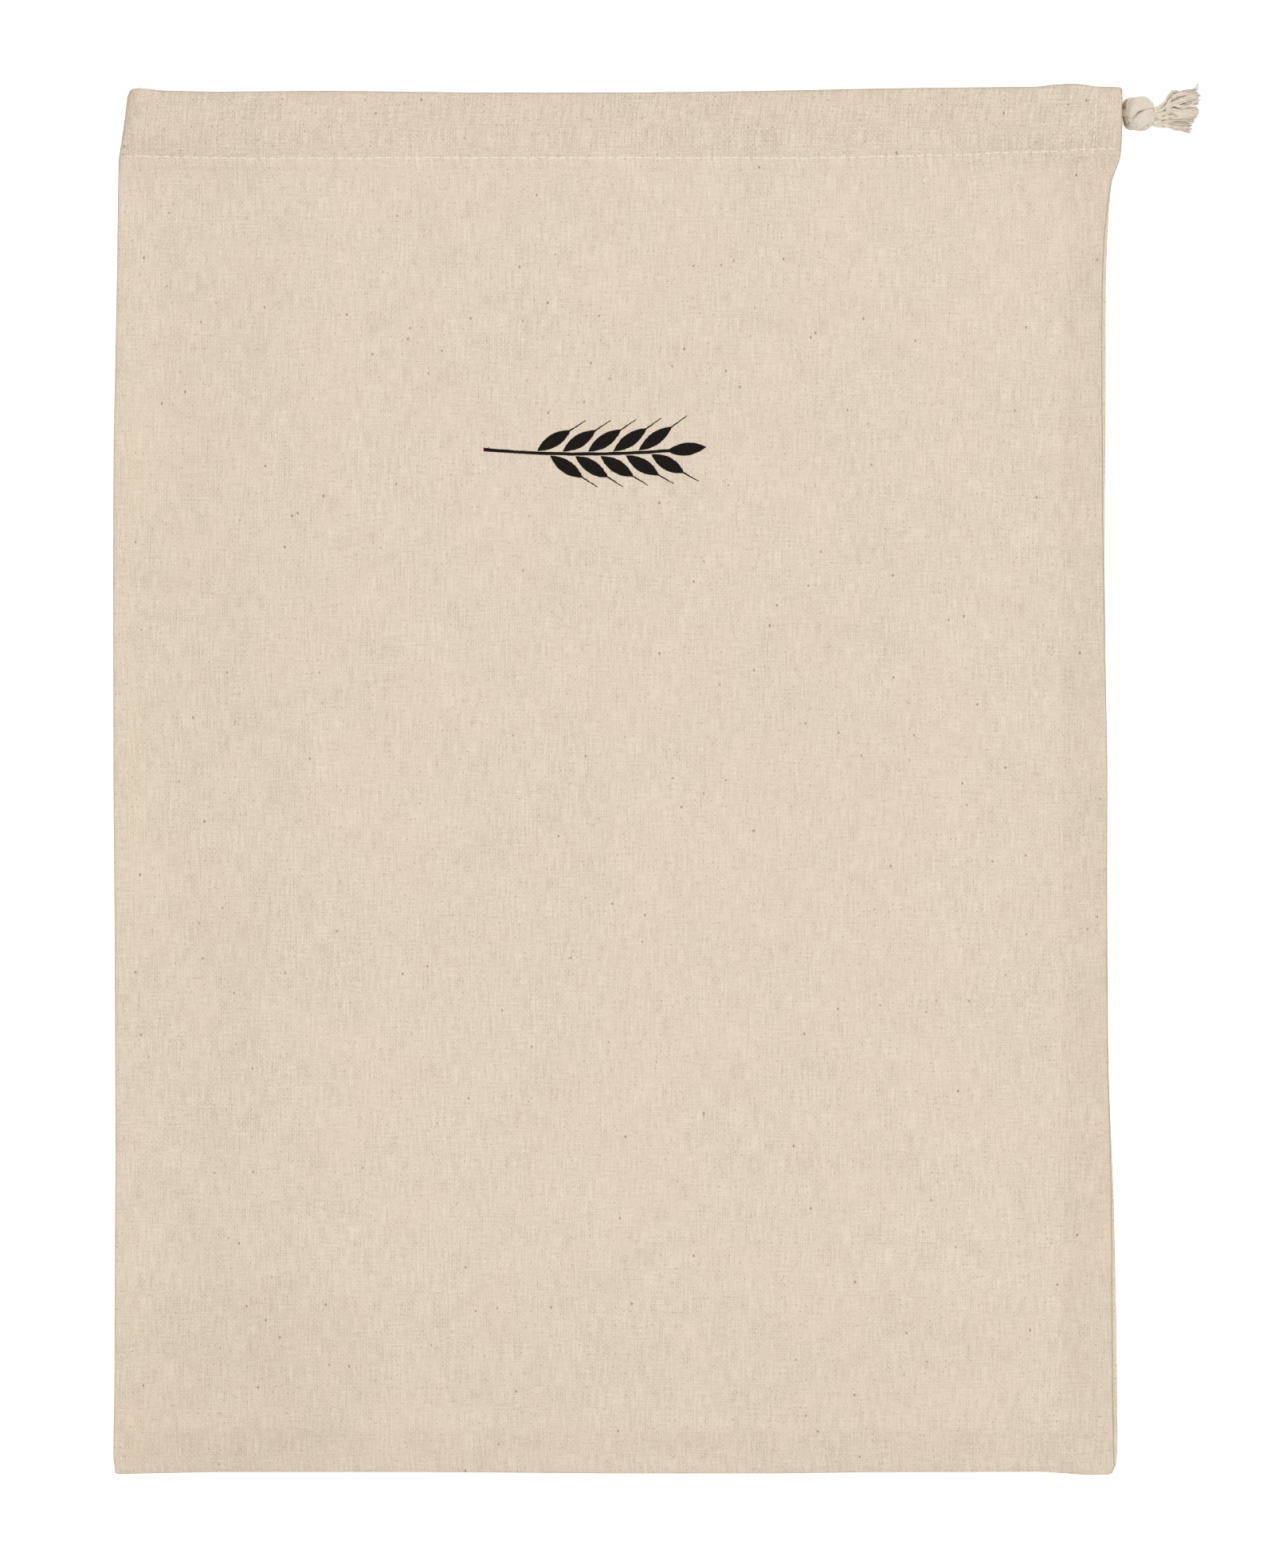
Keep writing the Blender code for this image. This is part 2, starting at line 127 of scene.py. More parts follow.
# Grid of the cloth on its nominal flat lengths; a run of cells is how far it goes and a cell's length
WIDTH = 299.0
FOLD_MIDDLE = -150.5
FOLD_LENGTH = 4.0
FLAT_END = 2 * WIDTH + FOLD_LENGTH
FRONT_RUNS = [(21.0, 1.5), (290.0, 2.45), (WIDTH, 1.5)]
FRONT_SIDE_PLACES = [3.6, 5.4, 7.5, 9.5, 11.5]
BACK_SIDE_PLACES = [11.5, 9.5, 7.5, 5.0]
COLUMNS_APART = 0.5
BACK_CELLS = 60
FOLD_CELLS = 10
STRIP_CELLS = 5
TURN_CELLS = 4
HEM_TURN_CELLS = 8
ROW_LEVELS = (-205, 188, 205)
CLIPPED_CELLS = 8
BOTTOM_RUN = (22.0, 1.6)
FINE_ROWS = 45.0
BODY_CELL = 2.75
SEAM_ROWS = (-3.4, -2.8, -2.2, -1.6, -1.0, -0.5, 0.0, 0.5, 1.0, 1.6)
HEM_FIRST_ROW = 2
CASING_CELLS = 8
RIGHT_ANGLE = math.pi / 2 + 1e-6
CORNER_CLIP = 2.0
STRIP_CLEAR = 1.5
STRIP_ROWS = 3

# Sewing: the casing's seam, the slit's hem, and one stitch
SEAM_LEVEL = 190
SEAM_FROM_FOLD = 2.6
SEAM_FROM_SIDE = 1.6
STITCH = 2.9
STITCH_LENGTH = 2.5
STITCH_VARIES = (0.88, 1.1)
STITCH_STRAYS = 0.12
STITCH_LEANS = 0.07
SEWN_LIFT = 0.2
SEWN_REACH = 1.1
SLIT_HEM = 7.8
SLIT_LEANS = 0.05
SLIT_STITCH = 2.25
SLIT_STITCH_SHARE = (0.5, 0.66)
SLIT_STITCHES_FROM = -7.0
SLIT_SEWN_BELOW_MOUTH = 2.5
THREAD_THICK = 0.5
THREAD_HALF_HIGH = THREAD_THICK * 0.42
STITCH_SIDES = 8
STITCH_BLUNT = 1.35
STITCH_DEPTH = 0.03
LOWEST_STITCH = THREAD_HALF_HIGH + 0.02
STITCH_SEED = 3

# Cord, knot and frayed ends, beyond the slit
CORD = 2.5
PLIES = 3
PLY_DEPTH = 0.11
PLY_TURN = 9.5
CORD_STEP = 0.9
CORD_SIDES = 18
CORD_LEVEL = 205.0
CORD_STARTS = 0.03
CORD_STOPS = 30
FOLD_STOPS = 9
CORD_STRAIGHT = 2.0
SLIT_X = 152.9
CORD_HEIGHTS = (CASING_HEIGHT - HEM_TURN, BACK_HEIGHT + HEM_TURN)
KNOT_AT = (158.0, 200.6, 5.09)
KNOT_STEPS = 12
KNOT_STEP = 0.25
KNOT_SIDES = 40
CORD_INTO_KNOT = [(0.6, -0.1, -0.15), (-2.6, -0.4, 0.3)]  # x, y, share of the height over the knot
BELOW_KNOT = (0.0, 0.0, -4.0)
CREASE = (0.13, 0.26)  # depth, reach
BAND_ENDS = 0.22
BAND_TIP = 0.25
BAND_PLIES = (7, 5.0, 0.018)  # number, length of a turn, depth
BANDS_MEET = 0.5
KNOT_CORE = (3.0, 3.3, [(-3.2, 0.3, 0.0), (-1.2, 0.3, 0.0), (1.0, 0.0, 0.0), (3.2, -0.3, -0.2)])
KNOT_NECK = (2.9, 2.1, [(0.0, -0.4, 0.0), (2.4, -0.6, -0.5), (3.8, -0.7, -0.9), (4.9, -0.7, -1.1)])
KNOT_ROOT = (2.6, 0.8, [(-3.6, 4.2, 0.0), (-4.1, 2.4, 0.0), (-4.15, 0.2, 0.0), (-3.9, -1.6, 0.0),
                        (-3.2, -3.4, 0.0)])
KNOT_BANDS = [  # half width, half thickness, and the band's way from the middle of the knot: x, y, z
    (2.6, 1.7, [(-3.0, -1.5, 0.6), (-2.6, 0.5, 2.1), (-1.4, 2.1, 2.9), (0.7, 2.9, 2.6), (2.4, 3.0, 0.9),
                (2.9, 2.4, -1.2)]),
    (1.3, 1.2, [(-1.9, 4.2, -0.6), (-2.9, 3.4, 1.2), (-3.3, 1.8, 2.1), (-3.2, 0.1, 2.2), (-2.6, -1.3, 1.2)]),
    (2.4, 1.7, [(-2.2, -3.3, -1.0), (-1.1, -3.2, 1.0), (0.7, -2.1, 2.5), (2.3, -0.8, 2.2), (3.1, 0.5, 0.5),
                (3.1, 1.2, -1.2)]),
    (1.6, 1.5, [(3.1, 1.8, -1.0), (3.4, 0.0, 0.7), (3.1, -2.0, 0.6), (1.9, -3.4, -0.7)]),
    (2.2, 1.7, [(-3.2, -0.6, 0.0), (-2.6, -1.6, 1.0), (-1.4, -2.6, 1.3), (0.0, -3.4, 0.3)]),
]
TUFT_AT = (161.2, 200.1)
TUFT_UPPER = [  # along the tuft from its root, and across
    (0.0, 1.9), (1.4, 2.5), (3.6, 3.2), (5.2, 4.2), (5.9, 5.8), (7.2, 7.1), (10.0, 7.9), (11.8, 8.3),
    (13.4, 8.5), (15.5, 9.9),
]
TUFT_LOWER = [(0.0, -2.6), (1.4, -3.0), (4.4, -3.3), (6.4, -3.4), (8.0, -3.8), (10.0, -4.4), (12.0, -5.2),
              (15.5, -6.4)]
TUFT_TIPS = [  # share across at the tips, and how far the yarns reach
    (0.0, 13.0), (0.05, 12.6), (0.10, 13.3), (0.20, 13.7), (0.27, 14.7), (0.36, 14.1), (0.45, 15.5),
    (0.55, 14.9), (0.64, 16.2), (0.72, 15.3), (0.82, 15.8), (0.88, 14.7), (0.95, 14.9), (1.0, 15.9),
]
TUFT_ROOT = (3.7, 2.1)  # height, half its thickness
TUFT_LIES = (0.5, 2.2)  # lowest tip, and how far up the others lie
TUFT_SPREADS = 1.2
TUFT_SINKS = 1.25
BED_YARNS = 50
BED_DRIFT = 0.03
BED_LEVELS = (0.0, 0.25)
BED_WAVE = (0.0, 9.0, 0.0)  # height, length, start
BED_SHORTER = 0.4
LOCKS = 24
LOCK_DRIFT = 0.12
LOCK_LEVELS = (0.2, 1.0)
LOCK_SPREAD = 0.27
LOCK_HALF = (0.09, 0.28)  # across, up
LOCK_OPENS = (0.8, 1.3)  # root, tip
YARNS_PER_LOCK = 10
YARN = 0.46
YARN_TAPER = 0.6
YARN_CLEAR = 0.62
YARN_SHARES = (0.02, 0.98)
YARN_FREE = 4.0
WAVE_LIFTS = (0.7, 0.3)  # of a yarn, of a lock
HIGHEST_YARN = 1.05
YARN_STEPS = 24
YARN_SIDES = 6
LOCK_WAVE = (0.25, 0.85)
LOCK_WAVE_LENGTH = (9.0, 18.0)
YARN_WAVE = (0.03, 0.12)
YARN_WAVE_LENGTH = (3.0, 6.0)
YARN_RAGGED = (-0.9, 0.3)
LOCK_RAGGED = (-0.8, 0.4)
YARN_VARIES = (0.7, 1.3)
TUFT_SEED = 17

# Colours, and where painted shade darkens them
CLOTH_DARK = (0.60, 0.502, 0.388)
CLOTH_LIGHT = (0.86, 0.75, 0.61)
CLOTH_TINT = (0.80, 0.645, 0.53)
PIT_DARK = (0.40, 0.30, 0.20)
HUSK = (0.30, 0.20, 0.115)
# Painted shade on the cloth where it turns away from upright, as at its rolled edges, on the front's turned
# edge and in the groove beside it
CREASE_DARK = (0.36, 0.30, 0.235)
CREASE_STEEP = (0.25, 1.0)
CREASE_SHADE = 0.65
FRONT_EDGE_SHADE = 0.85
GROOVE_SHADE = 0.65
GROOVE_IN = 0.8
INK = (0.013, 0.010, 0.008)
SEWING_COLOURS = ((0.76, 0.69, 0.60), (0.93, 0.87, 0.79))
CORD_COLOURS = ((0.60, 0.515, 0.41), (0.92, 0.845, 0.74))
FRAYED_COLOURS = ((0.66, 0.56, 0.45), (0.98, 0.89, 0.78))
# Brown of the cord's streaks, also its painted shade in hollows and by the slit
STREAK_AND_SHADE_BROWN = (0.36, 0.25, 0.155)
FLOOR_COLOURS = ((0.93, 0.93, 0.93), (0.95, 0.95, 0.95))

# Weave, on the flat cloth: each kind of noise has its width and length in mm, its draw and its detail
THREAD = 0.78
THREADS_WANDER = (14.0, 1.6)  # over what length, how far
OPEN_WEAVE = 0.32
CLEAR_WARP = (3.0, 9.0, 41.0, 2.0)
CLEAR_WEFT = (8.0, 3.0, 43.0, 2.0)
UPRIGHT_SLUBS = (0.6, 7.0, 0.0, 3.0)
LYING_SLUBS = (5.0, 0.6, 7.0, 3.0)
GRIT = (0.42, 0.6, 17.0, 2.0)
PATCH_SIZE = 12.0
TINT_SIZE = 30.0
WARP_CLEARS = (0.36, 0.66)
WEFT_CLEARS = (0.42, 0.72)
WEAVE_SHOWS = 0.42
UPRIGHT_SHOWS = 1.15
LYING_SHOWS = 0.8
PATCH_SHOWS = 0.38
BODY_CLEAR = 1.1
CASING_CLEARER = 0.35
RELIEF = (0.9, 0.5, 0.9)  # upright slubs, lying slubs, grit
WEAVE_RAISED = 0.13

# Where the flat cloth's front starts, where it lies doubled and gets painted shade, and its darker corner at
# the bottom left
FRONT_STARTS = (-149.5, -148.5)
SIDE_DOUBLED = (133.5, 137.5)
BOTTOM_DOUBLED = (-193.5, -197.5)
CASING_DOUBLED = (185.5, 188.5)
DOUBLED_DARK = 0.13
DULL_AT = (-118.0, -186.0)
DULL_REACH = (62.0, 48.0)
DULL_DARK = 0.15

# Flecks: how far apart and how wide in mm, their draw, how rare, how scattered; width over length
PITS = (2 * THREAD, 0.32, 39 * THREAD, 0.47, 0.55)
PITS_SHOW = 0.42
SEEDS = (5.0, 0.46, 23.0, 0.50, 1.0)
SEEDS_SHOW = 0.75
FLECK_NARROW = 0.75

# Print: an ear of wheat whose grains and awns lean out of a bowed stalk
EAR_AT = (-38.6, 98.9)
EAR_PITCH = 7.6
EAR_PITCHES = (2, 7)  # first grains, last grains
EAR_LEAN = math.radians(33)
EAR_BOW = (30.0, 0.0015, 1.0)  # middle, bend, sag
GRAIN_HALF = (1.95, 6.0)  # width, length
GRAIN_OUT = 7.2
LAST_GRAIN = 61.0
AWN = (12.0, 18.6)  # start, end
AWN_HALF = (0.26, 0.02)  # width, taper
STALK_HALF = 0.5
STALK_LENGTH = 56.0
PRINT_EDGE = 0.05
INK_STRAYS = 0.5

# Sewing thread: how many fibres to a millimetre, and their height
SEWING_FIBRES = 2.6
SEWING_RAISED = 0.05

# Cotton of the cord: its fibres, patches to a millimetre and streaks, and where shade is painted on it: the
# knot's creases, the tuft's hollows and the gap by the slit
FIBRE_SIZE = (0.22, 2.6)  # width, length
FIBRE_TWIST = 0.5
FIBRE_RAISED = 0.16
CORD_PATCHES = 0.42
CORD_TONE = (0.75, 0.45, 0.1)  # fibres, patches, darker by
STREAK_SIZE = (3.2, 0.62)  # length, width
STREAKED = (0.54, 0.70)
CORD_STREAKS = 0.12
FRAYED_STREAKS = 0.55
# Painted shade in the knot's creases, and below it in the tuft's hollows
KNOT_SHADE_PATCH = 2.2
KNOT_SHADE_VARIES = (0.30, 0.52)
KNOT_HOLLOWS = (0.10, 0.65)
KNOT_SHADED = 0.85
TUFT_TOP = (5.8, 0.2)  # height, slope
TUFT_HOLLOWS = (0.68, 0.22)
TUFT_SHADED = 0.52
SLIT_SHADE_FROM = (-0.9, -0.3)  # beyond the slit
SLIT_SHADE_TO = (1.9, 0.9)
SLIT_SHADE = 0.65

# Camera: as far above the bag as a long lens needs for the whole frame, which is so many mm high
FRAME_HIGH = 472.0
FRAME_MIDDLE = (7.2, -1.1, 4.0)
LENS = 200.0
SENSOR = 36.0
FARTHEST = 20.0

# Light: how bright the surround is, the lamp, and how the floor is lit from below like a light table
SURROUND = 0.45
LAMP_AT = (0.28, 0.15, 2.9)
LAMP_SIZE = 1.5
LAMP_POWER = 54.0
FLOOR_GLOW = 0.42
FLOOR_HALF = 6.0


def ease(t):
    """Soft step from 0 to 1."""
    t = np.clip(t, 0.0, 1.0)
    return t * t * (3 - 2 * t)


def reach(table, at):
    """How far an outline reaches at some places, read from its short table."""
    places, reaches = zip(*table)
    return np.interp(at, places, reaches)


def casing_share(x, y):
    """0 in the body of the bag and 1 in its casing."""
    low, high = CASING_RISES
    return ease((y - reach(CASING_SEAM, x) - low) / (high - low))


def ripples():
    """Waves of the cloth's slight unevenness: how fast each turns along x and y, its start, its height."""
    rng = random.Random(RIPPLE_SEED)
    waves = []
    for _ in range(RIPPLES):
        turn = 2 * math.pi / rng.uniform(*RIPPLE_LENGTHS)
        towards = rng.uniform(0, math.pi)
        waves.append(
            (turn * math.cos(towards), turn * math.sin(towards), rng.uniform(0, 2 * math.pi),
             RIPPLE_HEIGHT * rng.uniform(0.5, 1.0))
        )
    return waves


WAVES = ripples()


def front_height(x, y):
    """Height of the front layer's middle surface."""
    from_fold, from_seam = LOFT_STARTS
    past_fold = x - reach(LEFT_SIDE, y) - from_fold
    past_seam = reach(RIGHT_SIDE, y) - x - from_seam
    inward = ease(past_fold / LOFT_RUN) * ease(past_seam / LOFT_RUN)
    upward = ease((y - reach(BOTTOM, x) - from_seam) / LOFT_RUN)
    share = casing_share(x, y)
    body = SEAM_HEIGHT + LOFT * inward * upward
    casing = CASING_HEIGHT + CASING_LOFT * inward
    loose = ease(past_fold / SWELL_RUN) * ease(past_seam / SWELL_RUN)
    swell = sum(
        height * np.exp(-(((x - at_x) / reach_x) ** 2) - ((y - at_y) / reach_y) ** 2)
        for at_x, at_y, reach_x, reach_y, height in SWELLS
    )
    uneven = sum(high * np.sin(a * x + b * y + start) for a, b, start, high in WAVES)
    above_seam = y - reach(CASING_SEAM, x)
    groove, groove_reach = SEAM_GROOVE
    step, step_run = HEM_STEP
    sewn = groove * np.exp(-((above_seam / groove_reach) ** 2))
    lying_on_hem = step * ease((above_seam + HEM_BELOW_SEAM) / step_run + 1) * (1 - share)
    high = body + (casing - body) * share
    return high + (swell * upward + uneven * upward) * loose * (1 - share) + lying_on_hem - sewn


def slit_line(y):
    """Where the slit's hem is sewn down."""
    return SLIT_X - SLIT_HEM - SLIT_LEANS * (reach(MOUTH, SLIT_X) - y)


def back_height(x, y):
    """Height of the back layer's middle surface, lifted a little by its sewing."""
    above_seam = y - reach(CASING_SEAM, x)
    seam = np.exp(-((above_seam / SEWN_REACH) ** 2))
    slit = np.exp(-(((x - slit_line(y)) / SEWN_REACH) ** 2)) * ease((above_seam - SLIT_STITCHES_FROM) / 2 + 1)
    past_fold = ease((x - reach(LEFT_SIDE, y) - LOFT_STARTS[0]) / SWELL_RUN)
    return BACK_HEIGHT + SEWN_LIFT * np.maximum(seam, slit) * past_fold


def side_places(y):
    """Where the flat layers end: the fold's middle and radius, and both layers' right ends."""
    left = reach(LEFT_SIDE, y)
    radius = (front_height(left, y) - BACK_HEIGHT) / 2
    fold = left + CLOTH / 2 + radius
    back_end = reach(RIGHT_SIDE, y) - SEAM_TURN
    return fold, radius, back_end - reach(STRIP_SHOWS, y), back_end


def outer(c, y):
    """The outer layer's middle surface: c is 0 to 1 on the front, to 2 on the fold, to 3 on the back."""
    fold, radius, front_end, back_end = side_places(y)
    on_front = front_end + (fold - front_end) * np.minimum(c, 1)
    turned = math.pi * np.clip(c - 1, 0, 1)
    x = np.where(c <= 1, on_front, fold - radius * np.sin(turned))
    x = np.where(c >= 2, fold + (back_end - fold) * (c - 2), x)
    z = np.where(c <= 1, front_height(on_front, y), BACK_HEIGHT + radius * (1 + np.cos(turned)))
    z = np.where(c >= 2, back_height(x, y), z)
    return np.stack([x, y + 0 * x, z], axis=-1)


def inwards(c, y):
    """The outer layer's direction into the bag."""
    step_c, step_y = 0.001, 0.05
    across = outer(c + step_c, y) - outer(c - step_c, y)
    along = outer(c, y + step_y) - outer(c, y - step_y)
    direct = np.cross(across, along)
    return direct / np.linalg.norm(direct, axis=-1, keepdims=True)


def layered(c, y, inward):
    """Points that lie some way into the bag from its outer layer."""
    return outer(c, y) + inwards(c, y) * np.asarray(inward)[..., None]


def runs(start, stops):
    """Places from a start through runs of about equal cells, each given by its end and cell length."""
    places = [start]
    for stop, cell in stops:
        count = max(1, round((stop - places[-1]) / cell))
        places += list(np.linspace(places[-1], stop, count + 1)[1:])
    return places


def half_turn(cells):
    """The angles inside a half turn."""
    return [math.pi * k / cells for k in range(1, cells)]


def across_columns():
    """The cloth's columns from cut edge to cut edge: place c, turn, side of the turn, flat place, zone.

    A turn of 0 is the outer layer and of pi the layer turned in; a zone is what the cells between a
    column and the next one are.
    """
    strip = ALLOWANCE - SEAM_TURN
    arc = math.pi * PITCH / 2
    strips = [strip * k / STRIP_CELLS for k in range(STRIP_CELLS + 1)]
    clip = CORNER_CLIP
    columns = [(x / WIDTH, math.pi, -arc - x, "allowance") for x in reversed(strips[1:])]
    columns += [(0.0, math.pi, -arc, "turn")]
    columns += [(0.0, a, -arc * a / math.pi, "turn" if a > RIGHT_ANGLE else "rounded")
                for a in reversed(half_turn(TURN_CELLS))]
    columns += [(0.0, 0.0, 0.0, "edge"), (clip / WIDTH, 0.0, clip, "face")]
    faces = [strip] + [x for x in runs(0.0, FRONT_RUNS) if x > strip + COLUMNS_APART]
    columns += [(x / WIDTH, 0.0, x, "face") for x in FRONT_SIDE_PLACES + faces]
    columns += [(1 + k / FOLD_CELLS, 0.0, WIDTH + FOLD_LENGTH * k / FOLD_CELLS, "face")
                for k in range(1, FOLD_CELLS)]
    backs = np.linspace(0.0, WIDTH - strip, BACK_CELLS + 1)
    columns += [(2 + x / WIDTH, 0.0, WIDTH + FOLD_LENGTH + x, "face") for x in backs]
    end = FLAT_END
    columns += [(3 - x / WIDTH, 0.0, end - x, "face") for x in BACK_SIDE_PLACES]
    columns += [(3 - clip / WIDTH, 0.0, end - clip, "edge"), (3.0, 0.0, end, "rounded")]
    columns += [(3.0, a, end + arc * a / math.pi, "rounded" if a < RIGHT_ANGLE else "turn")
                for a in half_turn(TURN_CELLS)]
    columns += [(3.0, math.pi, end + arc, "allowance")]
    # the column at GROOVE_IN carries painted shade on the back's strip beside the front's edge
    columns += [(3 - x / WIDTH, math.pi, end + arc + x, "allowance") for x in [GROOVE_IN] + strips[1:]]
    return columns


def groove_painted_shade(place, turned):
    """How much shade is painted on the front's turned edge and in the groove where it lies on the back's
    strip.
    """
    if place == 0.0 and turned > 0.0:
        return FRONT_EDGE_SHADE
    return GROOVE_SHADE if place == 3 - GROOVE_IN / WIDTH and turned == math.pi else 0.0


def channel_depth(above_seam, c):
    """How deep the hem lies under the outer layer: it also makes room for the slit's own hems."""
    low, high = CHANNEL_OPENS
    from_slit = min(c, 3 - c) * WIDTH
    strips = 2 * ease((ALLOWANCE + SLIT_STRIPS_FADE - from_slit) / SLIT_STRIPS_FADE)
    sewn = PITCH * (1 + strips)
    return sewn + (2 * HEM_TURN - sewn) * ease((above_seam - low) / (high - low))


def along_rows(c):
    """The cloth's rows at one column, from the bottom's cut edge to the hem's.

    Each has its y, its depth in the bag, how far it has turned at the bottom or the mouth, its flat
    place and its zone.
    """
    x_low, x_seam, x_high = (float(outer(np.float64(c), np.float64(y))[0]) for y in ROW_LEVELS)
    by_fold = float(ease((c - 1) / CORNER_SHARP_RUN + 1) * ease((2 - c) / CORNER_SHARP_RUN + 1))
    sharp = 1 - CORNER_SHARP * by_fold
    low = reach(BOTTOM, x_low) + SEAM_TURN
    strip = low + BOTTOM_ALLOWANCE - SEAM_TURN
    seam = reach(CASING_SEAM, x_seam)
    high = reach(MOUTH, x_high) - HEM_TURN - CLOTH / 2
    bottom_arc = math.pi * PITCH / 2
    mouth_arc = math.pi * HEM_TURN
    casing = [seam + above for above in SEAM_ROWS]
    casing += list(np.linspace(casing[-1], high, CASING_CELLS + 1)[1:])
    rows = []
    for y in np.linspace(strip, low, STRIP_ROWS + 1)[:-1]:
        rows.append((y, PITCH, math.pi, 2 * low - bottom_arc - y, "allowance"))
    rows.append((low, PITCH, math.pi, low - bottom_arc, "turn"))
    for a in reversed(half_turn(TURN_CELLS)):
        turned = PITCH / 2
        zone = "turn" if a > RIGHT_ANGLE else "rounded"
        rows.append((low - turned * math.sin(a), turned * (1 - math.cos(a)), a, low - turned * a, zone))
    rows += [(low, 0.0, 0.0, low, "corner"), (low + CORNER_CLIP, 0.0, 0.0, low + CORNER_CLIP, "clipped")]
    to_strip = np.linspace(low + CORNER_CLIP, strip, CLIPPED_CELLS + 1)[1:]
    rows += [(y, 0.0, 0.0, y, "clipped") for y in to_strip]
    fine_run, fine_cell = BOTTOM_RUN
    body = runs(strip + STRIP_CLEAR, [(strip + fine_run, fine_cell)])
    top = seam - SLIT_BELOW_SEAM
    count = round((reach(CASING_SEAM, 0) - reach(BOTTOM, 0) - FINE_ROWS) / BODY_CELL)
    body += list(np.linspace(body[-1], top, count + 1)[1:])
    rows += [(y, 0.0, 0.0, y, "sewn") for y in body[:-1]]
    rows += [(y, 0.0, 0.0, y, "slit") for y in [body[-1]] + casing]
    for a in half_turn(HEM_TURN_CELLS):
        past = math.sin(a) ** sharp
        deep = 1 - math.copysign(abs(math.cos(a)) ** sharp, math.cos(a))
        rows.append((high + HEM_TURN * past, HEM_TURN * deep, -a, high + HEM_TURN * a, "slit"))
    for y in reversed(casing[HEM_FIRST_ROW:]):
        rows.append((y, channel_depth(y - seam, c), -math.pi, 2 * high + mouth_arc - y, "slit"))
    return rows


def is_cut_away(column_zone, row_zone):
    """Cells that the cloth lacks: its clipped corners, and what would lie on another strip."""
    if column_zone == "rounded" and row_zone == "rounded":
        return False
    if column_zone in ("turn", "rounded"):
        return row_zone not in ("corner", "clipped", "sewn", "slit")
    if column_zone == "allowance":
        return row_zone not in ("clipped", "sewn", "slit")
    return column_zone == "edge" and row_zone == "allowance"


def flat_across(c, y, along):
    """Where each column lies on the flat cloth, from the middle of the fold: along is its nominal place."""
    fold, radius, front_end, back_end = side_places(y)
    half = math.pi * radius / 2
    front = half + (front_end - fold) * (1 - np.clip(c, 0, 1))
    back = -half - (back_end - fold) * np.clip(c - 2, 0, 1)
    place = np.where(c <= 1, front, np.where(c <= 2, (1.5 - c) * 2 * half, back))
    place = np.where(along < 0, half + front_end - fold - along, place)
    place = np.where(along > FLAT_END, -half - (back_end - fold) - (along - FLAT_END), place)
    return FOLD_MIDDLE + place


def cloth_grid():
    """Points of the folded cloth's middle surface, their flat places, its columns and its rows' zones."""
    columns = across_columns()
    tables = [along_rows(c) for c, *_ in columns]
    y, depth, turned, flat_y = (np.array([[row[k] for row in rows] for rows in tables]) for k in range(4))
    c, side_turn, flat_x = (np.array([column[k] for column in columns])[:, None] for k in range(3))
    side_radius = PITCH / 2
    into = side_radius * (1 - np.cos(side_turn))
    past = side_radius * np.sin(side_turn)
    y = y + into * np.sin(turned)
    depth = depth + into * np.cos(turned)
    fold, _, front_end, back_end = side_places(y)
    beyond = np.where(c < 1, -past / (front_end - fold), past / (back_end - fold))
    points = layered(c + beyond, y, depth)
    flats = np.stack([flat_across(c + 0 * y, y, flat_x), flat_y], axis=-1)
    return points, flats, columns, [row[4] for row in tables[0]]


def lay_cells(shape, points, flats):
    """Adds a grid of cells to a shape: places in mm, and where each lies on the flat piece.

    Both are given row by row. The corners and the faces come back, each with its place in the grid.
    """
    high, wide = len(points), len(points[0])
    made = bmesh.ops.create_grid(shape, x_segments=wide - 1, y_segments=high - 1, size=1.0)["verts"]
    flat_map = shape.loops.layers.uv.verify()
    where = {}
    for corner in made:
        i = round((corner.co.x + 1) / 2 * (wide - 1))
        j = round((corner.co.y + 1) / 2 * (high - 1))
        where[corner] = (j, i)
        corner.co = Vector(points[j][i]) * MM
    faces = {}
    for face in {face for corner in made for face in corner.link_faces}:
        for loop in face.loops:
            j, i = where[loop.vert]
            loop[flat_map].uv = Vector(flats[j][i]) * MM
        faces[face] = min(where[corner] for corner in face.verts)
    return where, faces


def placed(name, shape, finish):
    """A shape put into the scene, at the origin."""
    mesh = bpy.data.meshes.new(name)
    shape.to_mesh(mesh)
    shape.free()
    mesh.materials.append(finish)
    made = bpy.data.objects.new(name, mesh)
    bpy.context.scene.collection.objects.link(made)
    return made


def piece_of(name, shape, finish):
    """A finished piece: smoothly shaded, and riding on the bag's only body."""
    piece = placed(name, shape, finish)
    piece.data.shade_smooth()
    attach(piece, "root")
    return piece


def bag_cloth(finish):
    """One cloth, folded, hemmed and turned in, as a middle surface with its thickness added."""
    points, flats, columns, row_zones = cloth_grid()
    shape = bmesh.new()
    painted_edge_shade = shape.verts.layers.float.new("painted_edge_shade")
    where, faces = lay_cells(shape, points, flats)
    gone = [face for face, (i, j) in faces.items() if is_cut_away(columns[i][3], row_zones[j])]
    bmesh.ops.delete(shape, geom=gone, context="FACES")
    bmesh.ops.recalc_face_normals(shape, faces=shape.faces)
    shape.normal_update()
    for corner, (k, _) in where.items():
        if corner.is_valid:
            # painted shade: more where the cloth turns away from upright, and on the front's turned edge and
            # in the groove beside it
            corner[painted_edge_shade] = max(1 - abs(corner.normal.z), groove_painted_shade(*columns[k][:2]))
    cloth = piece_of("folded_cloth", shape, finish)
    layer = cloth.modifiers.new("layer", "SOLIDIFY")
    layer.thickness = CLOTH * MM
    layer.offset = 0.0
    layer.use_rim = True
    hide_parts("bag_cloth")
    return cloth


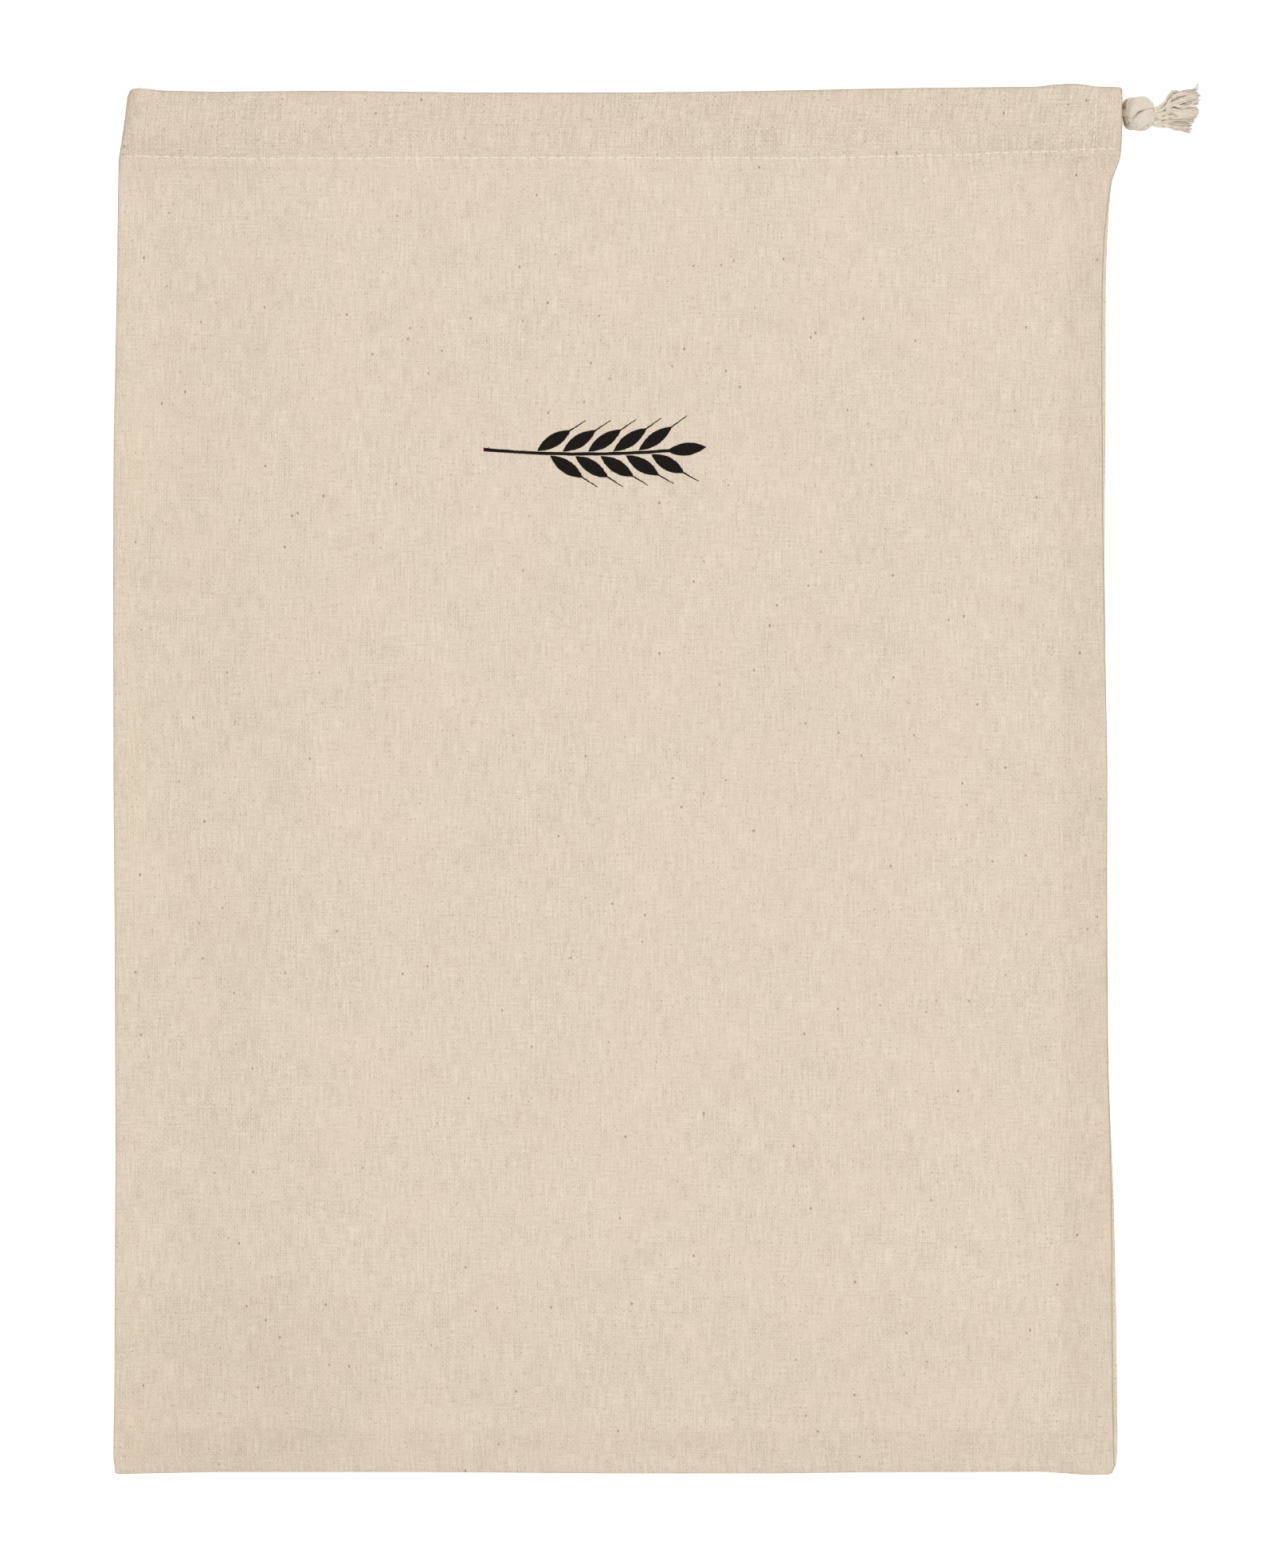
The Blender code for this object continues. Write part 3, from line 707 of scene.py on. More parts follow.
def on_cloth(x, y, back=False):
    """A point on the outside of the front or the back, round the fold too, and the direction out of it."""
    fold, radius, front_end, back_end = side_places(y)
    turned = math.asin(min(max((fold - x) / radius, 0.0), 1.0)) / math.pi
    beside = max(x, fold)
    if back:
        c = 2 + (beside - fold) / (back_end - fold) - turned
    else:
        c = (beside - front_end) / (fold - front_end) + turned
    out = -inwards(np.float64(c), np.float64(y))
    return outer(np.float64(c), np.float64(y)) + out * CLOTH / 2, out


def sew(shape, x, y, step, length):
    """One stitch of the front and its fellow under the back, each along a step in x and y."""
    for back in (False, True):
        at, out = on_cloth(x, y, back)
        ahead, _ = on_cloth(x + step[0], y + step[1], back)
        place = at - out * STITCH_DEPTH
        dips = abs((ahead - at)[2]) * length / 2
        place[2] = max(place[2], LOWEST_STITCH + dips)
        add_stitch(shape, place, ahead - at, out, length)


def add_stitch(shape, at, towards, out, length):
    """One stitch: a short thread that dips into the cloth at both ends."""
    ball = bmesh.ops.create_uvsphere(
        shape, u_segments=STITCH_SIDES, v_segments=STITCH_SIDES, radius=1.0)["verts"]
    for corner in ball:
        corner.co.z = math.copysign(abs(corner.co.z) ** STITCH_BLUNT, corner.co.z)
    towards = Vector(towards).normalized()
    out = Vector(out).normalized()
    side = out.cross(towards)
    turn = Matrix((side, out, towards)).transposed().to_4x4()
    size = Matrix.Diagonal((THREAD_THICK / 2, THREAD_HALF_HIGH, length / 2, 1.0))
    place = Matrix.Scale(MM, 4) @ Matrix.Translation(Vector(at)) @ turn @ size
    bmesh.ops.transform(shape, matrix=place, verts=ball)


def casing_stitches(finish):
    """The casing's seam, front and back."""
    rng = random.Random(STITCH_SEED)
    shape = bmesh.new()
    left, right = (float(reach(side, SEAM_LEVEL)) for side in (LEFT_SIDE, RIGHT_SIDE))
    count = int((right - left - SEAM_FROM_FOLD - SEAM_FROM_SIDE) / STITCH) + 1
    for k in range(count):
        x = left + SEAM_FROM_FOLD + STITCH * k
        y = float(reach(CASING_SEAM, x)) + rng.uniform(-STITCH_STRAYS, STITCH_STRAYS)
        slope = float(reach(CASING_SEAM, x + 1) - reach(CASING_SEAM, x - 1)) / 2
        length = STITCH_LENGTH * rng.uniform(*STITCH_VARIES)
        sew(shape, x, y, (1.0, slope + rng.uniform(-STITCH_LEANS, STITCH_LEANS)), length)
    return piece_of("casing_stitches", shape, finish)


def slit_stitches(finish):
    """The slit's hem, sewn down along the front and the back."""
    rng = random.Random(STITCH_SEED)
    shape = bmesh.new()
    seam = float(reach(CASING_SEAM, SLIT_X))
    top = float(reach(MOUTH, SLIT_X)) - SLIT_SEWN_BELOW_MOUTH
    count = int((top - seam - SLIT_STITCHES_FROM) / SLIT_STITCH)
    for k in range(count):
        y = seam + SLIT_STITCHES_FROM + SLIT_STITCH * (k + 0.5)
        x = float(slit_line(y))
        length = SLIT_STITCH * rng.uniform(*SLIT_STITCH_SHARE)
        sew(shape, x, y, (0.0, 1.0), length)
    return piece_of("slit_stitches", shape, finish)


def through(points, steps):
    """A smooth curve through a route's own points, with some steps between each pair."""
    line = [Vector(p) for p in points]
    line = [2 * line[0] - line[1]] + line + [2 * line[-1] - line[-2]]
    smooth = []
    for a, b, c, d in zip(line, line[1:], line[2:], line[3:]):
        for k in range(steps):
            t = k / steps
            smooth.append(
                0.5 * (2 * b + (c - a) * t + (2 * a - 5 * b + 4 * c - d) * t ** 2
                       + (3 * b - a - 3 * c + d) * t ** 3)
            )
    return smooth + [line[-2]]


def evenly(route, step):
    """The same route with its points an even step apart."""
    line = np.array([tuple(p) for p in route])
    lengths = np.concatenate([[0.0], np.cumsum(np.linalg.norm(np.diff(line, axis=0), axis=1))])
    count = max(2, round(lengths[-1] / step))
    places = np.linspace(0.0, lengths[-1], count + 1)
    return [Vector(p) for p in np.stack([np.interp(places, lengths, line[:, k]) for k in range(3)], axis=-1)]


def sweep(shape, route, section, sides, middle=None):
    """Adds a thread or band along a route, with closed ends.

    section(share, angle, walked) is how far its skin lies aside and outwards. Outwards is away from
    a middle where one is given, and otherwise carried along without a twist.
    """
    last = len(route) - 1
    side = None
    walked = 0.0
    rings, flats = [], []
    angles = [2 * math.pi * n / sides for n in range(sides + 1)]
    for k, place in enumerate(route):
        ahead = (route[min(k + 1, last)] - route[max(k - 1, 0)]).normalized()
        if middle is not None:
            side = ahead.cross(place - middle)
        elif side is None:
            side = ahead.orthogonal()
        side = (side - ahead * side.dot(ahead)).normalized()
        up = side.cross(ahead)
        walked += (place - route[k - 1]).length if k else 0.0
        skin = [section(k / last, a % (2 * math.pi), walked) for a in angles]
        rings.append([place + side * aside + up * out for aside, out in skin])
        around = sum(math.hypot(*pair) for pair in skin) / len(skin)
        flats.append([(around * a, walked) for a in angles])
    rings = [[route[0]] * len(angles)] + rings + [[route[-1]] * len(angles)]
    flats = [flats[0]] + flats + [flats[-1]]
    where, _ = lay_cells(shape, rings, flats)
    bmesh.ops.remove_doubles(shape, verts=list(where), dist=1e-7)


def plied(thickness):
    """The skin of a twisted cord: its plies stand out as they turn round it."""
    def section(share, angle, walked):
        ply = math.cos(PLIES * (angle - 2 * math.pi * walked / PLY_TURN))
        radius = thickness / 2 * (1 - PLY_DEPTH * (1 - ply) / 2)
        return radius * math.cos(angle), radius * math.sin(angle)
    return section


def two_abreast(half_width, half_thickness):
    """The skin of a band of two soft cords pressed together, with a crease between them and round ends."""
    depth, reach_aside = CREASE
    plies, turn, ply_depth = BAND_PLIES

    def section(share, angle, walked):
        end = min(share, 1 - share) / BAND_ENDS
        full = math.sqrt(max(0.0, 1 - (1 - min(end, 1.0)) ** 2)) * (1 - BAND_TIP) + BAND_TIP
        aside = math.cos(angle)
        crease = 1 - depth * math.exp(-((aside / reach_aside) ** 2))
        ply = 1 + ply_depth * math.cos(plies * angle + 2 * math.pi * walked / turn)
        return half_width * aside * full * ply, half_thickness * math.sin(angle) * full * crease * ply
    return section


def cord_mouth(height):
    """Where the cord comes out of the casing, at one of its two heights."""
    return Vector((SLIT_X, reach(MOUTH, SLIT_X) - CORD_BELOW_MOUTH, height))


def drawstring(finish):
    """The cord's way round the casing: in along the front, round the fold, out along the back."""
    stops = np.concatenate([
        np.linspace(CORD_STARTS, 1.0, CORD_STOPS),
        np.linspace(1.0, 2.0, FOLD_STOPS)[1:-1],
        np.linspace(2.0, 3 - CORD_STARTS, CORD_STOPS),
    ])
    y = reach(MOUTH, outer(stops, CORD_LEVEL)[..., 0]) - CORD_BELOW_MOUTH
    run = layered(stops, y, HEM_TURN + 0 * y)
    front, back = (cord_mouth(height) for height in CORD_HEIGHTS)
    straight = Vector((-CORD_STRAIGHT, 0.0, 0.0))
    route = [front, front + straight] + [Vector(p) for p in run] + [back + straight, back]
    shape = bmesh.new()
    sweep(shape, evenly(through(route, 4), CORD_STEP), plied(CORD), CORD_SIDES)
    bmesh.ops.recalc_face_normals(shape, faces=shape.faces)
    cord = piece_of("casing_cord", shape, finish)
    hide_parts("drawstring")
    return cord


def mark_creases(crease, bands, middle):
    """Marks a knot's skin from 0 to 1 where it comes up to a band that lies further out, for the painted
    shade in its creases.
    """
    owners = [owner for owner, skin in enumerate(bands) for _ in skin]
    near = kdtree.KDTree(len(owners))
    for k, corner in enumerate(corner for skin in bands for corner in skin):
        near.insert(corner.co, k)
    near.balance()
    within = BANDS_MEET * MM
    for owner, skin in enumerate(bands):
        for corner in skin:
            depth = (corner.co - middle).length
            found = near.find_range(corner.co, within)
            away = [far for at, k, far in found if owners[k] != owner and (at - middle).length > depth]
            corner[crease] = 1 - min(away, default=within) / within


def cord_knot(finish):
    """Overhand knot of both cord ends: soft bands wrapped over one another, and the two cords into it."""
    centre = Vector(KNOT_AT)
    below = centre + Vector(BELOW_KNOT)
    far_side = [(wide, thick, [(x, -y, -z) for x, y, z in way]) for wide, thick, way in KNOT_BANDS]
    bands = [(KNOT_CORE, below), (KNOT_NECK, below)]
    bands += [(band, centre) for band in [KNOT_ROOT] + KNOT_BANDS + far_side]
    shape = bmesh.new()
    crease = shape.verts.layers.float.new("crease")
    laid = []
    for (half_width, half_thickness, way), middle in bands:
        route = [centre + place for place in through(way, KNOT_STEPS)]
        skin = two_abreast(half_width, half_thickness)
        before = set(shape.verts)
        sweep(shape, evenly(route, KNOT_STEP), skin, KNOT_SIDES, middle)
        laid.append([corner for corner in shape.verts if corner not in before])
    mark_creases(crease, laid, centre * MM)
    for height in CORD_HEIGHTS:
        mouth = cord_mouth(height)
        rise = height - KNOT_AT[2]
        way = [mouth]
        for start, (x, y, share) in zip((mouth, centre), CORD_INTO_KNOT):
            way.append(start + Vector((x, y, rise * share)))
        sweep(shape, evenly(through(way, KNOT_STEPS), KNOT_STEP), plied(CORD), CORD_SIDES)
    bmesh.ops.recalc_face_normals(shape, faces=shape.faces)
    knot = piece_of("tied_knot", shape, finish)
    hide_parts("cord_knot")
    return knot


def yarn_route(start, end, level, length, wave, lock_wave):
    """One yarn of the tuft: its shares across at root and tip, its level from low to high, its waves."""
    high, long, phase = wave
    lock_high, lock_long, lock_phase = lock_wave
    root_z, root_half = TUFT_ROOT
    low, lies = TUFT_LIES
    lift, lock_lift = WAVE_LIFTS
    route = []
    for k in range(YARN_STEPS + 1):
        t = k / YARN_STEPS
        along = length * t
        share = start + (end - start) * float(ease(t * TUFT_SPREADS))
        lower, upper = float(reach(TUFT_LOWER, along)), float(reach(TUFT_UPPER, along))
        y = lower + (upper - lower) * share
        round_root = math.sqrt(max(0.05, 1 - (2 * start - 1) ** 2))
        heap = math.sqrt(max(0.05, 1 - (2 * share - 1) ** 2))
        root = root_z + (2 * level - 1) * root_half * round_root
        tip = low + level * lies * heap
        z = root + (tip - root) * float(ease(t * TUFT_SINKS))
        free = min(along / YARN_FREE, 1.0)
        turn = 2 * math.pi * along / long + phase
        slow = 2 * math.pi * along / lock_long + lock_phase
        y += free * (high * math.sin(turn) + lock_high * math.sin(slow))
        z += free * (high * lift * math.cos(turn) + lock_high * lock_lift * math.cos(slow))
        route.append(Vector((TUFT_AT[0] + along, TUFT_AT[1] + y, max(z, YARN * YARN_CLEAR))))
    return route


def frayed_ends(finish):
    """The cord ends beyond the knot, frayed into locks of single yarns over a bed of loose ones."""
    rng = random.Random(TUFT_SEED)
    shape = bmesh.new()

    def add_yarn(start, end, level, lock_wave, longer):
        """One yarn, with a length, a wave and a thickness of its own."""
        start, end = (float(np.clip(share, *YARN_SHARES)) for share in (start, end))
        length = float(reach(TUFT_TIPS, end)) + longer + rng.uniform(*YARN_RAGGED)
        wave = (rng.uniform(*YARN_WAVE), rng.uniform(*YARN_WAVE_LENGTH), rng.uniform(0, 2 * math.pi))
        thick = YARN * rng.uniform(*YARN_VARIES)

        def section(share, angle, walked):
            radius = thick / 2 * (1 - YARN_TAPER * share ** 3)
            return radius * math.cos(angle), radius * math.sin(angle)

        sweep(shape, yarn_route(start, end, level, length, wave, lock_wave), section, YARN_SIDES)

    for k in range(BED_YARNS):
        share = (k + 0.5) / BED_YARNS
        end = share + rng.uniform(-BED_DRIFT, BED_DRIFT)
        add_yarn(share, end, rng.uniform(*BED_LEVELS), BED_WAVE, -BED_SHORTER)
    half_wide, half_high = LOCK_HALF
    at_root, at_tip = LOCK_OPENS
    for k in range(LOCKS):
        share = (k + 0.5) / LOCKS
        drift = rng.uniform(-LOCK_DRIFT, LOCK_DRIFT)
        level = rng.uniform(*LOCK_LEVELS)
        longer = rng.uniform(*LOCK_RAGGED)
        slow = (rng.uniform(*LOCK_WAVE), rng.uniform(*LOCK_WAVE_LENGTH), rng.uniform(0, 2 * math.pi))
        for _ in range(YARNS_PER_LOCK):
            aside = rng.gauss(0.0, LOCK_SPREAD) * half_wide
            up = rng.gauss(0.0, LOCK_SPREAD) * half_high
            end = share + drift + aside * at_tip
            add_yarn(share + aside * at_root, end, min(max(level + up, 0.0), HIGHEST_YARN), slow, longer)
    bmesh.ops.recalc_face_normals(shape, faces=shape.faces)
    tuft = piece_of("loose_yarns", shape, finish)
    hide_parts("frayed_ends")
    return tuft


class Finish:
    """A material being made: it makes nodes, and hands out their sockets as numbers to reckon with."""

    def __init__(self, name, roughness):
        self.material = bpy.data.materials.new(name)
        self.material.use_nodes = True
        self.nodes = self.material.node_tree.nodes
        self.links = self.material.node_tree.links
        self.shader = self.nodes["Principled BSDF"]
        self.shader.inputs["Roughness"].default_value = roughness

    def feed(self, socket, value):
        """Gives a socket its value, or a link where the value is worked out by nodes."""
        if isinstance(value, Amount):
            self.links.new(value.socket, socket)
        else:
            socket.default_value = value

    def node(self, kind, settings, sockets, output=0):
        """Any node: its settings first, then its sockets, and one output as an amount."""
        made = self.nodes.new(kind)
        for name, value in settings.items():
            setattr(made, name, value)
        for name, value in sockets.items():
            self.feed(made.inputs[name], value)
        return Amount(self, made.outputs[output])

    def point(self, x, y, z=0.0):
        """A place as one vector."""
        return self.node("ShaderNodeCombineXYZ", {}, {"X": x, "Y": y, "Z": z})

    def noise(self, at, scale, detail=2.0, roughness=0.5):
        """Cloudy noise from 0 to 1, about a middle of one half."""
        sockets = {"Vector": at, "Scale": scale, "Detail": detail, "Roughness": roughness}
        return self.node("ShaderNodeTexNoise", {"noise_dimensions": "3D"}, sockets, "Fac")

    def mix(self, share, low, high):
        """One colour turning into another as a share goes from 0 to 1."""
        made = self.nodes.new("ShaderNodeMix")
        made.data_type = "RGBA"
        for socket, value in zip((made.inputs[0], made.inputs[6], made.inputs[7]), (share, low, high)):
            self.feed(socket, (*value, 1.0) if isinstance(value, tuple) else value)
        return Amount(self, made.outputs[2])

    def flat_place(self):
        """Where a point lies on the flat piece, in mm."""
        map_node = self.nodes.new("ShaderNodeUVMap")
        parts = self.nodes.new("ShaderNodeSeparateXYZ")
        self.links.new(map_node.outputs[0], parts.inputs[0])
        return Amount(self, parts.outputs[0]) / MM, Amount(self, parts.outputs[1]) / MM

    def surface(self, colour, height, raised):
        """Connects the colour, and a height in mm as a bump."""
        self.feed(self.shader.inputs["Base Color"], colour)
        sockets = {"Strength": 1.0, "Distance": raised * MM, "Height": height}
        self.feed(self.shader.inputs["Normal"], self.node("ShaderNodeBump", {}, sockets))
        return self.material


class Amount:
    """A number over the surface, so that shader maths reads as an expression."""

    def __init__(self, finish, socket):
        self.finish, self.socket = finish, socket

    def reckon(self, operation, *others):
        """One step of the sum: what a Math node makes of this amount and any others."""
        sockets = dict(enumerate((self, *others)))
        return self.finish.node("ShaderNodeMath", {"operation": operation}, sockets)

    __add__ = __radd__ = partialmethod(reckon, "ADD")
    __sub__ = partialmethod(reckon, "SUBTRACT")
    __mul__ = __rmul__ = partialmethod(reckon, "MULTIPLY")
    __truediv__ = partialmethod(reckon, "DIVIDE")
    __pow__ = partialmethod(reckon, "POWER")
    __mod__ = partialmethod(reckon, "FLOORED_MODULO")
    __abs__ = partialmethod(reckon, "ABSOLUTE")
    wave = partialmethod(reckon, "SINE")
    least = partialmethod(reckon, "MINIMUM")
    most = partialmethod(reckon, "MAXIMUM")

    def __rsub__(self, other):
        return (self * -1.0) + other

    def rise(self, low, high):
        """0 below one value and 1 above another, softly between them; falls where low is above high."""
        sockets = {"Value": self, "From Min": low, "From Max": high}
        return self.finish.node("ShaderNodeMapRange", {"interpolation_type": "SMOOTHSTEP"}, sockets)


def wheat_print(u, v):
    """A printed ear of wheat with its stalk, laid along the bag: 1 where the ink is."""
    bow_at, bow, sag = EAR_BOW
    sine, cosine = math.sin(EAR_LEAN), math.cos(EAR_LEAN)
    first, last = (EAR_PITCH * pitches for pitches in EAR_PITCHES)
    half_width, half_length = GRAIN_HALF
    awn_start, awn_end = AWN
    awn_half, taper = AWN_HALF
    along = u - EAR_AT[0]
    arch = (along - bow_at) ** 2.0 * bow - sag
    across = v - EAR_AT[1] - arch
    off = abs(across)
    root = along - off / math.tan(EAR_LEAN) + across.rise(-0.01, 0.01) * (EAR_PITCH / 2)
    from_root = (root % EAR_PITCH) - EAR_PITCH / 2
    beside = from_root * sine
    outwards = off / sine + from_root * cosine
    in_ear = root.rise(first - PRINT_EDGE, first) * root.rise(last, last - PRINT_EDGE)

    def grain(aside, at):
        """A grain's outline, pointed at both ends."""
        return (abs(aside) / half_width + (at / half_length) ** 2.0).rise(1.04, 0.96)

    side_grains = grain(beside, outwards - GRAIN_OUT) * in_ear
    last_grain = grain(across, along - LAST_GRAIN)
    awn_width = awn_half - (outwards - awn_start) * taper
    awns = (abs(beside) - awn_width).rise(PRINT_EDGE, -PRINT_EDGE)
    awns = awns * outwards.rise(awn_start, awn_start + 0.3) * outwards.rise(awn_end, awn_end - 0.4)
    stalk = off.rise(STALK_HALF + PRINT_EDGE, STALK_HALF - PRINT_EDGE)
    stalk = stalk * along.rise(0.0, 0.2) * along.rise(STALK_LENGTH, STALK_LENGTH - 0.2)
    return side_grains.most(last_grain).most(awns * in_ear).most(stalk)


def calico():
    """Unbleached plain weave: threads over and under, slubs, seed flecks, soft tints and the print."""
    cloth = Finish("unbleached_cotton", 0.95)
    cloth.shader.inputs["Specular IOR Level"].default_value = 0.08
    u, v = cloth.flat_place()

    def uneven(wide, long, draw, detail):
        """Noise in streaks so wide along the bag's width and so long along its height, in mm."""
        return cloth.noise(cloth.point(u / wide, v / long, draw), 1.0, detail, 0.6)

    wander_length, wander = THREADS_WANDER
    bend = (cloth.noise(cloth.point(u, v), 1 / wander_length) - 0.5) * wander
    warp = ((u + bend) * (math.pi / THREAD)).wave()
    weft = ((v - bend) * (math.pi / THREAD)).wave()
    warp_over = (warp * weft * 0.8 + 0.5).least(1.0).most(0.0)
    clear_warp = uneven(*CLEAR_WARP).rise(*WARP_CLEARS)
    clear_weft = uneven(*CLEAR_WEFT).rise(*WEFT_CLEARS)
    weave = (abs(warp) * warp_over - OPEN_WEAVE) * clear_warp
    weave += (abs(weft) * (1 - warp_over) - OPEN_WEAVE) * clear_weft
    upright = uneven(*UPRIGHT_SLUBS) - 0.5
    lying = uneven(*LYING_SLUBS) - 0.5
    grit = uneven(*GRIT) - 0.5
    patch = cloth.noise(cloth.point(u, v, 3.0), 1 / PATCH_SIZE, 4.0, 0.62) - 0.5
    tint = cloth.noise(cloth.point(u, v, 11.0), 1 / TINT_SIZE, 2.0, 0.5) - 0.5
    casing = v.rise(*CASING_DOUBLED)
    doubled = u.rise(*SIDE_DOUBLED).most(v.rise(*BOTTOM_DOUBLED)).most(casing)
    front = u.rise(*FRONT_STARTS)
    clearer = casing * CASING_CLEARER + BODY_CLEAR
    threads = weave * WEAVE_SHOWS + upright * UPRIGHT_SHOWS + lying * LYING_SHOWS + grit
    light = 0.5 + threads * clearer + patch * PATCH_SHOWS
    from_dull = [(place - at) / reaches for place, at, reaches in zip((u, v), DULL_AT, DULL_REACH)]
    dull = (from_dull[0] ** 2.0 + from_dull[1] ** 2.0).rise(1.0, 0.0) * front
    # painted shade: a little darker where the front lies doubled; and darker towards the bottom left corner
    light = (light - doubled * front * DOUBLED_DARK - dull * DULL_DARK).least(1.0).most(0.0)
    colour = cloth.mix(light, CLOTH_DARK, CLOTH_LIGHT)
    colour = cloth.mix((tint * 0.5 + 0.12).most(0.0), colour, CLOTH_TINT)

    def specks(apart, wide, draw, rare, scatter):
        """Spots scattered from rows and columns, where their own noise lets them be."""
        spot = cloth.node("ShaderNodeTexVoronoi", {"feature": "F1"}, {
            "Vector": cloth.point(u, v * FLECK_NARROW, draw),
            "Scale": 1 / apart,
            "Randomness": scatter,
        }, "Distance").rise(wide / apart, wide * 0.4 / apart)
        here = cloth.noise(cloth.point(u, v, draw), 1 / (apart * 1.3), 1.0)
        return spot * here.rise(rare - 0.03, rare + 0.03)

    colour = cloth.mix(specks(*PITS) * clearer * PITS_SHOW, colour, PIT_DARK)
    colour = cloth.mix(specks(*SEEDS) * SEEDS_SHOW, colour, HUSK)
    # painted shade on the cloth's sloping, rolled edges and in the groove beside the front's edge
    painted_edge_shade = cloth.node("ShaderNodeAttribute", {"attribute_name": "painted_edge_shade"}, {}, "Fac")
    colour = cloth.mix(painted_edge_shade.rise(*CREASE_STEEP) * CREASE_SHADE, colour, CREASE_DARK)
    ink = wheat_print(u + upright * INK_STRAYS, v + lying * INK_STRAYS)
    colour = cloth.mix(ink, colour, INK)
    of_upright, of_lying, of_grit = RELIEF
    relief = weave + upright * of_upright + lying * of_lying + grit * of_grit
    return cloth.surface(colour, relief, WEAVE_RAISED)


def sewing_thread():
    """White cotton sewing thread."""
    thread = Finish("sewing_thread", 0.75)
    coords = thread.node("ShaderNodeTexCoord", {}, {}, "Object")
    fibre = thread.noise(coords, SEWING_FIBRES / MM, 2.0)
    return thread.surface(thread.mix(fibre, *SEWING_COLOURS), fibre, SEWING_RAISED)


def knot_hollows(cord, x, y, z):
    """Painted shade where the knot's bands meet, more in some places than in others."""
    place = cord.point(*(along / KNOT_SHADE_PATCH for along in (x, y, z)))
    shade_varies = cord.noise(place, 1.0, 2.0).rise(*KNOT_SHADE_VARIES)
    crease = cord.node("ShaderNodeAttribute", {"attribute_name": "crease"}, {}, "Fac")
    return crease.rise(*KNOT_HOLLOWS) * shade_varies


def tuft_hollows(cord, x, y, z):
    """Painted shade where the yarns lie deep between the locks, under a top that slopes down to the tips."""
    root_top, slope = TUFT_TOP
    return (z / (root_top - (x - TUFT_AT[0]) * slope)).rise(*TUFT_HOLLOWS)


def twisted_cord(name, colours, streaks, hollows, shaded):
    """Soft natural cotton: fibres that lie along the twist, brown streaks, and painted shade in hollows and
    where it leaves the slit.
    """
    cord = Finish(name, 0.92)
    cord.shader.inputs["Sheen Weight"].default_value = 0.1
    cord.shader.inputs["Specular IOR Level"].default_value = 0.25
    around, along = cord.flat_place()
    fibre_wide, fibre_long = FIBRE_SIZE
    over = (around - along * FIBRE_TWIST) / fibre_wide
    fibre = cord.noise(cord.point(over, (along + around * FIBRE_TWIST) / fibre_long), 1.0, 3.0, 0.6)
    coords = cord.node("ShaderNodeTexCoord", {}, {}, "Object")
    patch = cord.noise(coords, CORD_PATCHES / MM, 2.0)
    of_fibre, of_patch, darker = CORD_TONE
    colour = cord.mix((fibre * of_fibre + patch * of_patch - darker).least(1.0).most(0.0), *colours)
    x, y, z = (cord.node("ShaderNodeSeparateXYZ", {}, {"Vector": coords}, axis) / MM for axis in "XYZ")
    streak_long, streak_wide = STREAK_SIZE
    place = cord.point(x / streak_long, y / streak_wide, z / streak_wide)
    streak = cord.noise(place, 1.0, 2.0, 0.6).rise(*STREAKED)
    # brown streaks, and painted shade where the hollows lie deep
    colour = cord.mix((streak * streaks).most(hollows(cord, x, y, z) * shaded), colour, STREAK_AND_SHADE_BROWN)
    # painted shade, with some brown tint, on the cord in the narrow gap where it leaves the slit
    slit_shade = x.rise(*(SLIT_X + past for past in SLIT_SHADE_FROM)) * x.rise(*(SLIT_X + past for past in SLIT_SHADE_TO))
    colour = cord.mix(slit_shade * SLIT_SHADE, colour, STREAK_AND_SHADE_BROWN)
    return cord.surface(colour, fibre, FIBRE_RAISED)


